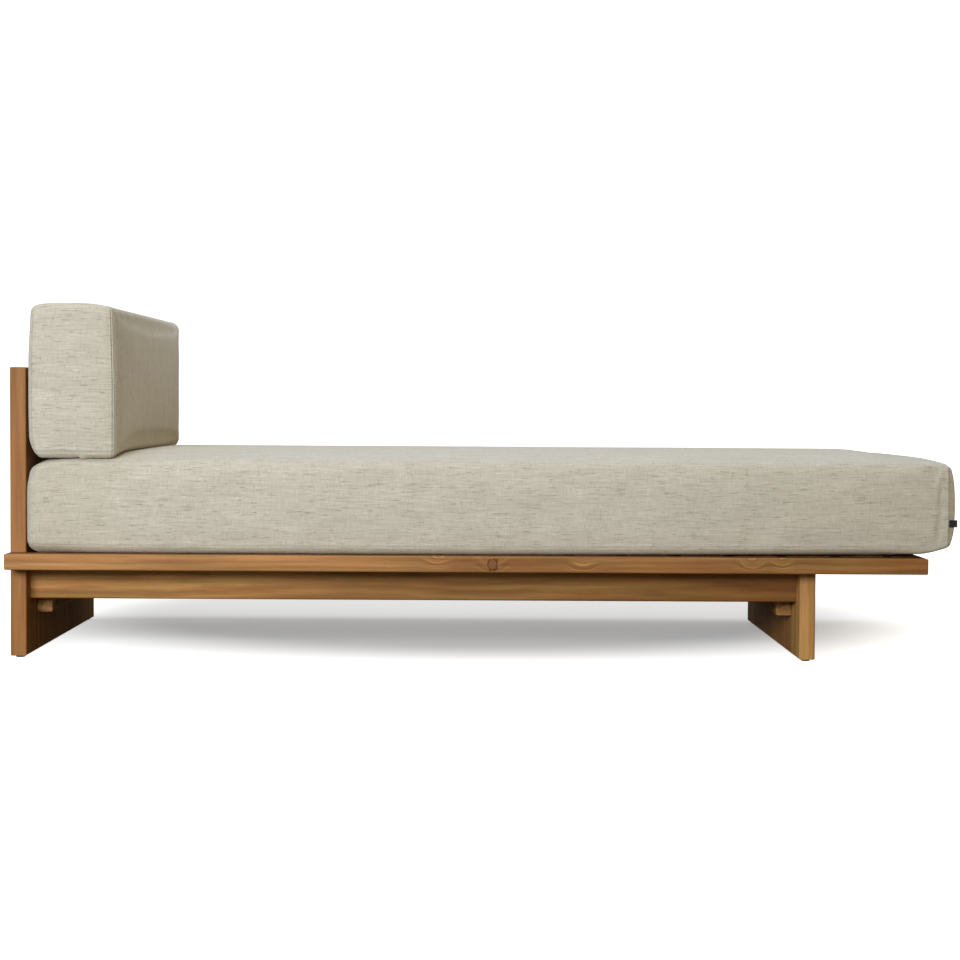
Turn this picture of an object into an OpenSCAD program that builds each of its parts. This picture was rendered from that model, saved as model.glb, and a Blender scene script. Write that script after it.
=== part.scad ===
// Outdoor sun lounger: a low wooden platform on two panel legs, with a box mattress and a loose
// back cushion in front of the tall head panel. Millimetres. X runs from the head to the foot, Y
// from the near side to the far side and Z up from the floor. The origin lies on the floor, under
// the middle of the overall length and width.

/* [Platform] */
// Length of the wooden platform
platform_l = 2000; // [1800:10:2200]
// Width of the platform over both side rails
platform_w = 900; // [800:10:1100]
// Height of the platform's top above the floor
platform_h = 233; // [210:1:320]
// Thickness of the rails and of the leg panels
stock_t = 35; // [32:1:42]
// Width of the side rails and the foot rail, which lie flat
rail_w = 60; // [54:1:80]
// Radius of the eased wood edges
arris_r = 3.5; // [1.5:0.5:6]

/* [Slats] */
// Number of slats across the platform
slat_count = 16; // [12:1:18]
// Width of one slat
slat_w = 95; // [70:1:105]
// Thickness of the slats and depth of the rebates that take their ends
slat_t = 20; // [16:1:24]
// Width of the rebate in each side rail
rebate_w = 15; // [12:1:20]
// Play between a slat's end and the wall of its rebate
slat_play = 1; // [0.5:0.1:2]

/* [Legs] */
// Height of the head panel above the platform's top
head_rise = 404; // [300:1:500]
// Distance from the foot panel's outer face to the foot end of the platform
foot_setback = 233; // [140:1:400]
// Boards glued side by side into each leg panel
panel_boards = 7; // [7:2:9]
// Diameter of a floor glide
glide_d = 20; // [16:1:24]
// Height of a floor glide
glide_h = 4.5; // [3:0.5:8]
// Distance from a glide's centre to the side edge of its leg panel
glide_inset = 22; // [15:1:60]
// Diameter of the nail that holds a glide
nail_d = 2.5; // [2:0.1:3]
// Length of that nail
nail_l = 22; // [16:1:30]
// Diameter of that nail's head
nail_head_d = 8; // [5:0.5:8]
// Thickness of that nail's head
nail_head_t = 1.2; // [0.8:0.1:1.6]
// Diameter of the recess for the nail's head
glide_recess_d = 9; // [8.5:0.5:12]
// Depth of that recess
glide_recess_h = 2; // [1.6:0.1:2.6]

/* [Beams] */
// Thickness of the long beams under the slats
beam_t = 35; // [30:1:40]
// How far the beams hang below the underside of the platform
beam_drop = 71; // [60:1:80]
// Distance from a side rail's inner face to the near face of the outer beam
beam_inset = 43; // [36:1:50]
// Thickness of the cleats on the leg panels
cleat_t = 35; // [32:1:42]
// Height of the cleats
cleat_h = 36; // [32:1:44]
// Distance from a leg panel's side edge to the end of its cleat
cleat_inset = 105; // [96:1:120]
// Distance from a cleat's end to its outer bolts
cleat_bolt_inset = 47; // [35:1:56]

/* [Fastenings] */
// Diameter of the bolts in cleats and beams
bolt_d = 8; // [6:0.5:8]
// Length of a cleat bolt under its head
cleat_bolt_l = 38; // [34:1:41]
// Length of a beam bolt under its head
beam_bolt_l = 74; // [64:1:90]
// Height between the two bolts at a beam's end
beam_bolt_pitch = 40; // [32:1:46]
// Diameter of a bolt head
bolt_head_d = 13; // [12:0.5:15]
// Height of a bolt head
bolt_head_h = 8; // [6:0.5:8]
// Outer diameter of a washer
washer_d = 17; // [16:0.5:18]
// Thickness of a washer
washer_t = 1.6; // [1.2:0.1:2]
// Diameter of the counterbores over the bolt heads
counterbore_d = 20; // [19:0.5:24]
// Depth of the open counterbores in the cleats
cleat_counterbore = 14; // [12:1:16]
// Thickness of the wooden plugs over the beam bolts
plug_t = 7; // [5:0.5:8]
// Diameter of the threaded inserts in the leg panels
insert_d = 12; // [11:0.5:13]
// Length of the threaded inserts
insert_l = 20; // [15:1:24]
// Diameter of the barrel nuts in the beams
barrel_d = 15; // [13:0.5:16]
// Length of the barrel nuts
barrel_l = 26; // [24:1:28]
// Depth of the barrel nuts below the beams' hidden faces
barrel_sink = 1; // [0.5:0.5:1.5]
// Distance from a beam's end to its barrel nuts
barrel_setback = 40; // [36:1:44]
// Diameter of the dowels between rails and panels
dowel_d = 8; // [6:1:8]
// Length of the dowels
dowel_l = 60; // [40:1:70]
// Diameter of a slat screw's shank
screw_d = 4.5; // [4:0.1:5]
// Diameter of a slat screw's countersunk head
screw_head_d = 9; // [8:0.1:10]
// Length of a slat screw
screw_l = 30; // [26:1:32]
// Radial clearance round pins, bolts, dowels and nuts in their holes
bore_clear = 0.1; // [0.05:0.01:0.2]

/* [Mattress] */
// Length of the mattress
mattress_l = 2017; // [1840:1:2200]
// Width of the mattress
mattress_w = 840; // [740:1:1040]
// Thickness of the mattress at its edges
mattress_t = 203; // [120:1:240]
// Rise of the mattress's middle above its edges
mattress_crown = 22.5; // [8:0.5:36]
// Radius of the mattress's upright corners
mattress_corner_r = 22; // [14:1:60]
// Length over which the mattress's ends are rounded
mattress_end_r = 20; // [14:1:50]
// Radius of the mattress's top edges
mattress_edge_r = 22; // [16:1:30]
// Radius of the mattress's bottom edges
mattress_under_r = 27; // [16:1:34]
// Swell of the mattress's sides between their seams
mattress_bulge = 6; // [2:0.5:12]
// How far the mattress's long sides are drawn in at mid-length
mattress_draw = 3; // [0:0.5:6]
// Lift of the mattress's underside at its free foot end
foot_lift = 24; // [0:1:30]
// Gap between the head panel and the mattress
mattress_gap = 3; // [1:0.5:10]

/* [Back cushion] */
// How far each end of the back cushion stands in from the mattress's side
back_inset = 7; // [0:1:60]
// Thickness of the back cushion
back_t = 188; // [120:1:220]
// Height of the back cushion at its ends
back_h = 330; // [240:1:420]
// Swell of the cushion's front between its seams
back_bulge = 11; // [4:1:20]
// Swell of the cushion's ends between their seams
back_end_bulge = 6; // [2:0.5:12]
// Rise of the middle of the cushion's top above its long edges
back_crown = 10.5; // [0:0.5:14]
// Radius of the cushion's long edges
back_edge_r = 16; // [10:1:24]
// Radius of the cushion's upright corners
back_corner_r = 18; // [12:1:30]
// Gap between the head panel and the cushion, at mid-width
back_gap = 19.5; // [12:0.5:40]
// Turn of the loose cushion towards the foot at its far end, in degrees
back_turn = 1.2; // [0:0.1:1.3]

/* [Covers] */
// Thickness of a cover with its quilted lining
cover_t = 8; // [6:0.5:12]
// Length of a zip
zip_l = 640; // [300:10:680]
// Height of a zip's tape
zip_h = 12; // [10:1:16]
// Thickness of a zip's tape and teeth
zip_t = 2.2; // [1.6:0.1:2.6]
// Length of a zip's slider
slider_l = 16; // [10:1:24]
// Width of the plain tag in the mattress's corner seam
tag_w = 19; // [12:1:30]
// Height of the tag
tag_h = 16.5; // [10:0.5:30]
// Thickness of the tag
tag_t = 1.2; // [0.8:0.1:2]
// Height of the tag's lower edge above the platform
tag_rise = 67; // [40:1:80]

/* [Hidden] */
// Clearance between a soft piece and what it rests on or is sewn to
soft_clear = 0.3;
// Clearance between the back cushion and the crowned mattress, with room for both meshes' flats
seat_clear = 0.5;
// Length over which the crown dies out at the head end and at the foot end
head_fade = 60;
foot_fade = 250;
// Length over which the foot end's underside lifts
lift_l = 120;
// Where the seam of an upright corner runs on the corner's quarter turn, from the long side
seam_turn = 45;
// How far the corner's flat lies inside its true round where the tag is sewn on
tag_flat = 1;
// How far a cut runs past the face that it opens
cut = 1;
// Chamfers of the bolts and of the glides
bolt_ease = 0.8;
glide_chamfer = 0.8;

z_top = platform_h;
z_under = platform_h - stock_t;
z_slat = z_top - slat_t;
z_leg = glide_h;
z_beam = z_under - beam_drop;
z_cleat = z_beam - cleat_h;

tag_reach = soft_clear + tag_w - mattress_end_r * (1 - sin(seam_turn));
foot_reach = max(mattress_bulge, tag_reach);
foot_overhang = stock_t + mattress_gap + mattress_l + foot_reach - platform_l;
x_head = -(platform_l + foot_overhang) / 2;
x_foot = x_head + platform_l;
x_head_in = x_head + stock_t;
x_leg_out = x_foot - foot_setback;
x_leg_in = x_leg_out - stock_t;

y_side = platform_w / 2;
y_panel = y_side - rail_w;
panel_w = 2 * y_panel;
board_w = round(panel_w / panel_boards);
function seam_y(i) = board_w * (i - panel_boards / 2);
y_beam = y_panel - beam_inset - beam_t / 2;
y_cleat = y_panel - cleat_inset;

slat_l = panel_w + 2 * (rebate_w - slat_play);
y_screw = y_panel + rebate_w / 2;
slat_run = platform_l - stock_t - rail_w;
slat_gap = (slat_run - slat_count * slat_w) / (slat_count + 1);
function slat_x(i) = x_head_in + slat_gap + i * (slat_w + slat_gap);

beam_l = x_leg_in - x_head_in;
beam_h = z_slat - z_beam;
beam_ys = [-y_beam, 0, y_beam];
beam_open = [1, 1, -1];
beam_bolt_zs = [for (s = [-1, 1]) z_beam + beam_h / 2 + s * beam_bolt_pitch / 2];
beam_sink = plug_t + bolt_head_h + washer_t;
cleat_bolt_ys = [-(y_cleat - cleat_bolt_inset), 0, y_cleat - cleat_bolt_inset];
z_cleat_bolt = z_cleat + cleat_h / 2;
z_rail_dowels = [z_under + stock_t / 4, z_under + stock_t * 3 / 4];
z_rebate_dowel = z_under + (stock_t - slat_t) / 2;

z_bed = z_top + soft_clear;
z_edge = z_bed + mattress_t;
x_mattress = x_head_in + mattress_gap + mattress_l / 2;
back_l = mattress_w - 2 * back_inset;
x_back = x_head_in + back_gap + back_t / 2;
z_back_top = z_edge + back_h;
z_mattress_zip = z_bed + mattress_t / 2;
z_back_zip = z_edge + back_h / 2;
slider_t = cover_t - zip_t - 3 * soft_clear;

wood = "#a9773f";
end_wood = "#8f6236";
cloth = "#b9b2a0";
steel = "#9a9c9e";
dark = "#3a3a3b";

// A rectangle with rounded corners, from true arcs
module eased_rect(a, b) {
    translate([arris_r, 0]) square([a - 2 * arris_r, b]);
    translate([0, arris_r]) square([a, b - 2 * arris_r]);
    for (u = [arris_r, a - arris_r], v = [arris_r, b - arris_r])
        translate([u, v]) circle(arris_r, $fn = 32);
}

// A board from its lowest corner, with the edges along X and along Y eased
module board_flat(l, w, t) {
    intersection() {
        rotate([90, 0, 90]) linear_extrude(l) eased_rect(w, t);
        translate([0, w, 0]) rotate([90, 0, 0]) linear_extrude(w) eased_rect(l, t);
    }
}

// An upright panel from its lowest corner, with the edges along Y and along Z eased
module board_upright(t, w, h) {
    intersection() {
        linear_extrude(h) eased_rect(t, w);
        translate([0, w, 0]) rotate([90, 0, 0]) linear_extrude(w) eased_rect(t, h);
    }
}

// A pin or a hole along X, from x towards the foot
module along_x(x, y, z, d, l) {
    translate([x, y, z]) rotate([0, 90, 0]) cylinder(h = l, d = d, $fn = 32);
}

// A pin or a hole along Y, from y towards the far side
module along_y(x, y, z, d, l) {
    translate([x, y, z]) rotate([-90, 0, 0]) cylinder(h = l, d = d, $fn = 32);
}

// Every dowel between a side rail and what it carries, or their holes, grown by clear
module dowels(clear) {
    mid = stock_t / 2;
    for (s = [-1, 1]) {
        y = s * y_panel - dowel_l / 2 - clear;
        for (z = z_rail_dowels)
            along_y(x_head + mid, y, z, dowel_d + 2 * clear, dowel_l + 2 * clear);
        for (x = [x_leg_in + stock_t / 4, x_leg_in + stock_t * 3 / 4])
            along_y(x, y, z_rebate_dowel, dowel_d + 2 * clear, dowel_l + 2 * clear);
        for (x = [x_foot - rail_w * 3 / 4, x_foot - rail_w / 4])
            along_y(x, y, z_under + mid, dowel_d + 2 * clear, dowel_l + 2 * clear);
    }
}

// One hexagon-socket bolt with its head's top at x = 0, pointing along +X
module bolt(length) {
    r = bolt_d / 2;
    difference() {
        rotate([0, 90, 0]) rotate_extrude($fn = 32) polygon([
            [0, 0], [bolt_head_d / 2 - bolt_ease, 0], [bolt_head_d / 2, bolt_ease],
            [bolt_head_d / 2, bolt_head_h], [r, bolt_head_h], [r, bolt_head_h + length - bolt_ease],
            [r - bolt_ease, bolt_head_h + length], [0, bolt_head_h + length]]);
        translate([-cut, 0, 0]) rotate([0, 90, 0])
            cylinder(h = bolt_head_h / 2 + cut, d = bolt_head_d / 2, $fn = 6);
    }
}

// A washer from x = 0 along +X
module washer() {
    difference() {
        along_x(0, 0, 0, washer_d, washer_t);
        along_x(-cut, 0, 0, bolt_d + 4 * bore_clear, washer_t + 2 * cut);
    }
}

// Places its children at each cleat bolt: the face of the cleat, and the way towards the panel
module at_cleat_bolts() {
    for (y = cleat_bolt_ys) {
        translate([x_head_in + cleat_t, y, z_cleat_bolt]) mirror([1, 0, 0]) children();
        translate([x_leg_in - cleat_t, y, z_cleat_bolt]) children();
    }
}

// Places its children at each beam bolt: the outer face of the panel, and the way into the beam
module at_beam_bolts() {
    for (y = beam_ys, z = beam_bolt_zs) {
        translate([x_head, y, z]) children();
        translate([x_leg_out, y, z]) mirror([1, 0, 0]) children();
    }
}

// The holes that the cleat bolts need in cleat and panel, cut along +X from the cleat's face
module cleat_bolt_holes() {
    at_cleat_bolts() {
        along_x(-cut, 0, 0, counterbore_d, cleat_counterbore + cut);
        along_x(0, 0, 0, bolt_d + 2 * bore_clear, cleat_t + insert_l + cut);
        along_x(cleat_t, 0, 0, insert_d + 2 * bore_clear, insert_l + bore_clear);
    }
}

// The holes that the beam bolts need in panel and beam, cut along +X from the panel's outer face
module beam_bolt_holes() {
    at_beam_bolts() {
        along_x(-cut, 0, 0, counterbore_d, beam_sink + cut);
        along_x(0, 0, 0, bolt_d + 2 * bore_clear, stock_t + barrel_setback + barrel_d);
    }
}

// The barrel nuts, or their holes from the hidden inner face of each beam, grown by clear
module barrels(clear) {
    reach = clear > 0 ? cut : -barrel_sink;
    for (b = [0:2], x = [x_head_in + barrel_setback, x_leg_in - barrel_setback], z = beam_bolt_zs)
        translate([x, beam_ys[b] + beam_open[b] * (beam_t / 2 + reach), z])
            rotate([beam_open[b] * 90, 0, 0])
                cylinder(h = barrel_sink + barrel_l + reach + clear, d = barrel_d + 2 * clear, $fn = 32);
}

// Every slat screw, or its countersunk hole, grown by clear
module screws(clear) {
    head_h = (screw_head_d - screw_d) / 2;
    for (i = [0:slat_count - 1], y = [-y_screw, y_screw])
        translate([slat_x(i) + slat_w / 2, y, z_top]) rotate_extrude($fn = 32) polygon([
            [0, clear > 0 ? cut : 0],
            if (clear > 0) [screw_head_d / 2 + clear, cut],
            [screw_head_d / 2 + clear, 0],
            [screw_d / 2 + clear, -head_h],
            [screw_d / 2 + clear, screw_d - screw_l],
            [0, -screw_l - clear]]);
}

// Places its children at each glide's centre, on the underside of the leg panels
module at_glides() {
    for (x = [x_head + stock_t / 2, x_leg_out - stock_t / 2], s = [-1, 1])
        translate([x, s * (y_panel - glide_inset), 0]) children();
}

// One board of a leg panel that starts at x and reaches up to z
module panel_board(i, x, z) {
    low = i == 1 ? -y_side : seam_y(i - 1);
    high = i == panel_boards ? y_side : seam_y(i);
    intersection() {
        translate([x, -y_panel, z_leg]) board_upright(stock_t, panel_w, z - z_leg);
        translate([x - cut, low, 0]) cube([stock_t + 2 * cut, high - low, z + cut]);
    }
}

module head_board(i) {
    color(wood) difference() {
        panel_board(i, x_head, z_top + head_rise);
        panel_holes();
    }
}

module foot_board(i) {
    color(wood) difference() {
        panel_board(i, x_leg_in, z_slat);
        panel_holes();
    }
}

// Everything that is drilled into the leg panels
module panel_holes() {
    dowels(bore_clear);
    cleat_bolt_holes();
    beam_bolt_holes();
    at_glides() translate([0, 0, z_leg - cut]) cylinder(h = nail_l, d = nail_d + 2 * bore_clear, $fn = 32);
}

// The side rail on the near side, with the rebate for the slats' ends
module side_rail() {
    difference() {
        translate([x_head, -y_side, z_under]) board_flat(platform_l, rail_w, stock_t);
        translate([x_head_in, -y_panel - rebate_w, z_slat]) cube([slat_run, rebate_w + cut, slat_t + cut]);
        dowels(bore_clear);
        screws(bore_clear);
    }
}

module side_rail_near() {
    color(wood) side_rail();
}

module side_rail_far() {
    color(wood) mirror([0, 1, 0]) side_rail();
}

module foot_rail() {
    color(wood) difference() {
        translate([x_foot - rail_w, y_panel, z_under]) rotate([90, 0, 0]) linear_extrude(panel_w)
            eased_rect(rail_w, stock_t);
        dowels(bore_clear);
    }
}

module slat(i) {
    color(wood) difference() {
        translate([slat_x(i), slat_l / 2, z_slat]) rotate([90, 0, 0]) linear_extrude(slat_l)
            eased_rect(slat_w, slat_t);
        screws(bore_clear);
    }
}

module beam(b) {
    color(wood) difference() {
        translate([x_head_in, beam_ys[b] - beam_t / 2, z_beam]) rotate([90, 0, 90])
            linear_extrude(beam_l) eased_rect(beam_t, beam_h);
        beam_bolt_holes();
        barrels(bore_clear);
    }
}

// A cleat from x towards the foot, with all four long edges and its ends eased
module cleat(x) {
    color(wood) difference() {
        translate([x, -y_cleat, z_cleat]) intersection() {
            linear_extrude(cleat_h) eased_rect(cleat_t, 2 * y_cleat);
            translate([0, 2 * y_cleat, 0]) rotate([90, 0, 0]) linear_extrude(2 * y_cleat)
                eased_rect(cleat_t, cleat_h);
        }
        cleat_bolt_holes();
    }
}

module rail_dowels() {
    color(end_wood) dowels(0);
}

module slat_screws() {
    color(steel) screws(0);
}

module cleat_bolts() {
    color(steel) at_cleat_bolts()
        translate([cleat_counterbore - washer_t - bolt_head_h, 0, 0]) bolt(cleat_bolt_l);
}

module cleat_washers() {
    color(steel) at_cleat_bolts() translate([cleat_counterbore - washer_t, 0, 0]) washer();
}

module cleat_inserts() {
    color(steel) at_cleat_bolts() difference() {
        along_x(cleat_t, 0, 0, insert_d, insert_l);
        along_x(cleat_t - cut, 0, 0, bolt_d + 2 * bore_clear, insert_l + 2 * cut);
    }
}

module beam_bolts() {
    color(steel) at_beam_bolts() translate([plug_t, 0, 0]) bolt(beam_bolt_l);
}

module beam_washers() {
    color(steel) at_beam_bolts() translate([plug_t + bolt_head_h, 0, 0]) washer();
}

module barrel_nuts() {
    color(steel) difference() {
        barrels(0);
        beam_bolt_holes();
    }
}

module bolt_plugs() {
    color(end_wood) at_beam_bolts() along_x(0, 0, 0, counterbore_d - 2 * bore_clear, plug_t);
}

module glides() {
    color(dark) at_glides() rotate_extrude($fn = 48) polygon([
        [nail_d / 2 + bore_clear, glide_recess_h], [glide_recess_d / 2, glide_recess_h],
        [glide_recess_d / 2, 0], [glide_d / 2 - glide_chamfer, 0], [glide_d / 2, glide_chamfer],
        [glide_d / 2, glide_h], [nail_d / 2 + bore_clear, glide_h]]);
}

module glide_nails() {
    z = glide_recess_h - nail_head_t;
    color(steel) at_glides() rotate_extrude($fn = 32) polygon([
        [0, z], [nail_head_d / 2, z], [nail_head_d / 2, glide_recess_h], [nail_d / 2, glide_recess_h],
        [nail_d / 2, z + nail_l - nail_d], [0, z + nail_l]]);
}

// Where the rings of a cushion of length l stand: close together round both ends, then spread by
// count more along the middle. Each end is rounded over the length r.
function stations(l, r, step, count) = concat(
    [for (a = [90:-step:0]) r * (1 - sin(a))],
    [for (k = [1:count]) r + (l - 2 * r) * (1 - cos(180 * k / (count + 1))) / 2],
    [for (a = [0:step:90]) l - r * (1 - sin(a))]);

// Places of the values in a cushion's form: its length and width, the radii of its upright
// corners, top edges, bottom edges and ends, the swells of its +Y and -Y sides, and how far its
// long seams are drawn in
LENGTH = 0;
WIDTH = 1;
CORNER = 2;
TOP_EDGE = 3;
LOW_EDGE = 4;
END = 5;
SWELL_HIGH_Y = 6;
SWELL_LOW_Y = 7;
DRAW = 8;

// One ring of a cushion, round its length, where top and bottom are functions of x and y
function ring(s, form, top, bottom, step, sides, crowns) = let(
    e = s < form[END] ? 1 - s / form[END] : max(0, 1 - (form[LENGTH] - s) / form[END]),
    k = sqrt(max(0, 1 - e * e)),
    x = s - form[LENGTH] / 2,
    half = form[WIDTH] / 2 - form[CORNER] * (1 - k) - form[DRAW] * sin(180 * s / form[LENGTH]),
    rt = form[TOP_EDGE] * max(k, 0.4),
    rb = form[LOW_EDGE] * max(k, 0.4),
    drop = form[TOP_EDGE] * (1 - k),
    lift = form[LOW_EDGE] * (1 - k),
    zt = top(x, half) - drop,
    zb = bottom(x, half) + lift,
    swell = [for (i = [1:sides]) 1 - pow(abs(2 * i / (sides + 1) - 1), 3)],
    rise = [for (i = [1:sides]) zb + rb + (zt - rt - zb - rb) * i / (sides + 1)])
    concat(
        [[x, 0, bottom(x, 0) + lift]],
        [for (a = [0:step:90]) [x, half - rb * (1 - sin(a)), zb + rb * (1 - cos(a))]],
        [for (i = [0:sides - 1]) [x, half + form[SWELL_HIGH_Y] * k * swell[i], rise[i]]],
        [for (a = [0:step:90]) [x, half - rt * (1 - cos(a)), zt - rt * (1 - sin(a))]],
        [for (i = [1:crowns]) let(y = (half - rt) * (1 - 2 * i / (crowns + 1))) [x, y, top(x, y) - drop]],
        [for (a = [90:-step:0]) [x, rt * (1 - cos(a)) - half, zt - rt * (1 - sin(a))]],
        [for (i = [sides - 1:-1:0]) [x, -half - form[SWELL_LOW_Y] * k * swell[i], rise[i]]],
        [for (a = [90:-step:0]) [x, rb * (1 - sin(a)) - half, zb + rb * (1 - cos(a))]]);

// The middle of a ring
function middle(r) = let(n = len(r)) [for (c = [0:2]) ([for (p = r) p[c]] * [for (p = r) 1]) / n];

// A ring drawn together by the factor in and pushed out along X, which rounds off an end
function drawn(r, in, push) = let(m = middle(r))
    [for (p = r) [p[0] + push, m[1] + (p[1] - m[1]) * in, m[2] + (p[2] - m[2]) * in]];

// A cushion as one closed mesh along X. ends holds how far its head and foot ends swell.
module cushion(form, top, bottom, ends, step, count, sides, crowns) {
    body = [for (s = stations(form[LENGTH], form[END], step, count))
        ring(s, form, top, bottom, step, sides, crowns)];
    head = body[0];
    foot = body[len(body) - 1];
    rings = concat(
        [drawn(head, 0.4, -0.85 * ends[0]), drawn(head, 0.8, -0.5 * ends[0])],
        body,
        [drawn(foot, 0.8, 0.5 * ends[1]), drawn(foot, 0.4, 0.85 * ends[1])]);
    n = len(head);
    m = len(rings);
    poles = [middle(head) - [ends[0], 0, 0], middle(foot) + [ends[1], 0, 0]];
    polyhedron(
        points = concat([for (r = rings) each r], poles),
        faces = concat(
            [for (i = [0:m - 2], j = [0:n - 1])
                [i * n + j, (i + 1) * n + (j + 1) % n, i * n + (j + 1) % n]],
            [for (i = [0:m - 2], j = [0:n - 1])
                [i * n + j, (i + 1) * n + j, (i + 1) * n + (j + 1) % n]],
            [for (j = [0:n - 1]) [m * n, j, (j + 1) % n]],
            [for (j = [0:n - 1]) [m * n + 1, (m - 1) * n + (j + 1) % n, (m - 1) * n + j]]));
}

// The shape of a cushion drawn in by gap on every side
function inner(form, gap) = [
    form[LENGTH] - 2 * gap, form[WIDTH] - 2 * gap, form[CORNER] - gap / 2, form[TOP_EDGE] - gap / 2,
    form[LOW_EDGE] - gap / 2, form[END] - gap / 2, form[SWELL_HIGH_Y], form[SWELL_LOW_Y], form[DRAW]];

// Height of the mattress's crown above its edges, across its width and along its length
function crown_across(y) = mattress_crown * (1 - pow(min(1, abs(y) / (mattress_w / 2)), 2.5));
function crown_along(x) = sin(90 * min(1, max(0, x + mattress_l / 2) / head_fade))
    * sin(90 * min(1, max(0, mattress_l / 2 - x) / foot_fade));
function foot_curl(x) = foot_lift * pow(max(0, (x - mattress_l / 2 + lift_l) / lift_l), 2);

mattress_form = [mattress_l, mattress_w, mattress_corner_r, mattress_edge_r, mattress_under_r,
    mattress_end_r, mattress_bulge, mattress_bulge, mattress_draw];

back_form = [back_l, back_t, back_corner_r, back_edge_r, back_edge_r, back_corner_r, 0, back_bulge, 0];

// The mattress's closed shape, drawn in by gap, with a finer mesh on the outside
module mattress_shape(gap) {
    fine = gap == 0;
    translate([x_mattress, 0, 0]) cushion(
        inner(mattress_form, gap),
        function (x, y) z_edge - gap + crown_across(y) * crown_along(x),
        function (x, y) z_bed + gap + foot_curl(x),
        [0, mattress_bulge], fine ? 30 : 45, fine ? 9 : 6, fine ? 3 : 1, fine ? 11 : 5);
}

// The back cushion's closed shape, drawn in by gap. It lies along Y, over the crowned mattress.
module back_shape(gap) {
    fine = gap == 0;
    at_back() rotate([0, 0, 90]) cushion(
        inner(back_form, gap),
        function (x, y) z_back_top - gap + back_crown * (1 - pow(min(1, abs(y) / (back_t / 2)), 2.5)),
        function (x, y) z_edge + seat_clear + gap + crown_across(x),
        [back_end_bulge, back_end_bulge], fine ? 30 : 45, fine ? 13 : 7, fine ? 3 : 1, fine ? 5 : 3);
}

// Places its children where the loose back cushion stands, turned a little
module at_back() {
    translate([x_back, 0, 0]) rotate([0, 0, -back_turn]) children();
}

// The opening for a zip in a cushion's side that faces the head panel at x, at height z
module zip_slot(x, z) {
    translate([x - zip_t, -zip_l / 2, z - zip_h / 2])
        cube([cover_t + 2 * zip_t, zip_l, zip_h]);
}

// The zip's tape and teeth, flush with the inside of the cover
module zip(x, z) {
    color(dark)
        translate([x + cover_t - soft_clear - zip_t, soft_clear - zip_l / 2, z - zip_h / 2 + soft_clear])
            cube([zip_t, zip_l - 2 * soft_clear, zip_h - 2 * soft_clear]);
}

// The zip's slider with its pull, at the zip's far end
module zip_slider(x, z) {
    h = zip_h - 4 * soft_clear;
    color(steel) translate([x + soft_clear, zip_l / 2 - 2 * soft_clear - slider_l, z - h / 2]) {
        translate([slider_t / 2, slider_l / 3, 0]) cube([slider_t / 2, slider_l * 2 / 3, h]);
        translate([0, 0, h / 3]) cube([slider_t, slider_l, h / 3]);
    }
}

module mattress_cover() {
    color(cloth) difference() {
        mattress_shape(0);
        mattress_shape(cover_t);
        zip_slot(x_mattress - mattress_l / 2, z_mattress_zip);
    }
}

module mattress_core() {
    color("ivory") mattress_shape(cover_t + soft_clear);
}

module mattress_zip() {
    zip(x_mattress - mattress_l / 2, z_mattress_zip);
}

module mattress_zip_slider() {
    zip_slider(x_mattress - mattress_l / 2, z_mattress_zip);
}

// The plain tag, folded cloth sewn into the corner seam at the near side of the foot end
module mattress_tag() {
    x = x_mattress + mattress_l / 2 - mattress_end_r * (1 - sin(seam_turn));
    y = mattress_w / 2 - mattress_corner_r * (1 - cos(seam_turn)) + mattress_bulge * cos(seam_turn)
        - tag_flat;
    color(dark) translate([x + soft_clear, -y - tag_t, z_top + tag_rise]) cube([tag_w, tag_t, tag_h]);
}

module back_cover() {
    color(cloth) difference() {
        back_shape(0);
        back_shape(cover_t);
        at_back() zip_slot(-back_t / 2, z_back_zip);
    }
}

module back_core() {
    color("ivory") back_shape(cover_t + soft_clear);
}

module back_zip() {
    at_back() zip(-back_t / 2, z_back_zip);
}

module back_zip_slider() {
    at_back() zip_slider(-back_t / 2, z_back_zip);
}

for (i = [1:panel_boards]) {
    head_board(i);
    foot_board(i);
}
for (i = [1:slat_count])
    slat(i - 1);
side_rail_near();
side_rail_far();
foot_rail();
beam(0);  // beam_near
beam(1);  // beam_centre
beam(2);  // beam_far
cleat(x_head_in);  // cleat_head
cleat(x_leg_in - cleat_t);  // cleat_foot
rail_dowels();
slat_screws();
cleat_bolts();
cleat_washers();
cleat_inserts();
beam_bolts();
beam_washers();
barrel_nuts();
bolt_plugs();
glides();
glide_nails();
mattress_cover();
mattress_core();
mattress_zip();
mattress_zip_slider();
mattress_tag();
back_cover();
back_core();
back_zip();
back_zip_slider();
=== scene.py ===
"""Looks of the sun lounger: oiled teak, woven covers over soft pads, and a pale studio."""

import logging
import math
from collections.abc import Sequence
from dataclasses import dataclass
from enum import Enum
from functools import reduce

import bpy
import numpy as np
from mathutils import Matrix, Vector


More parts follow.
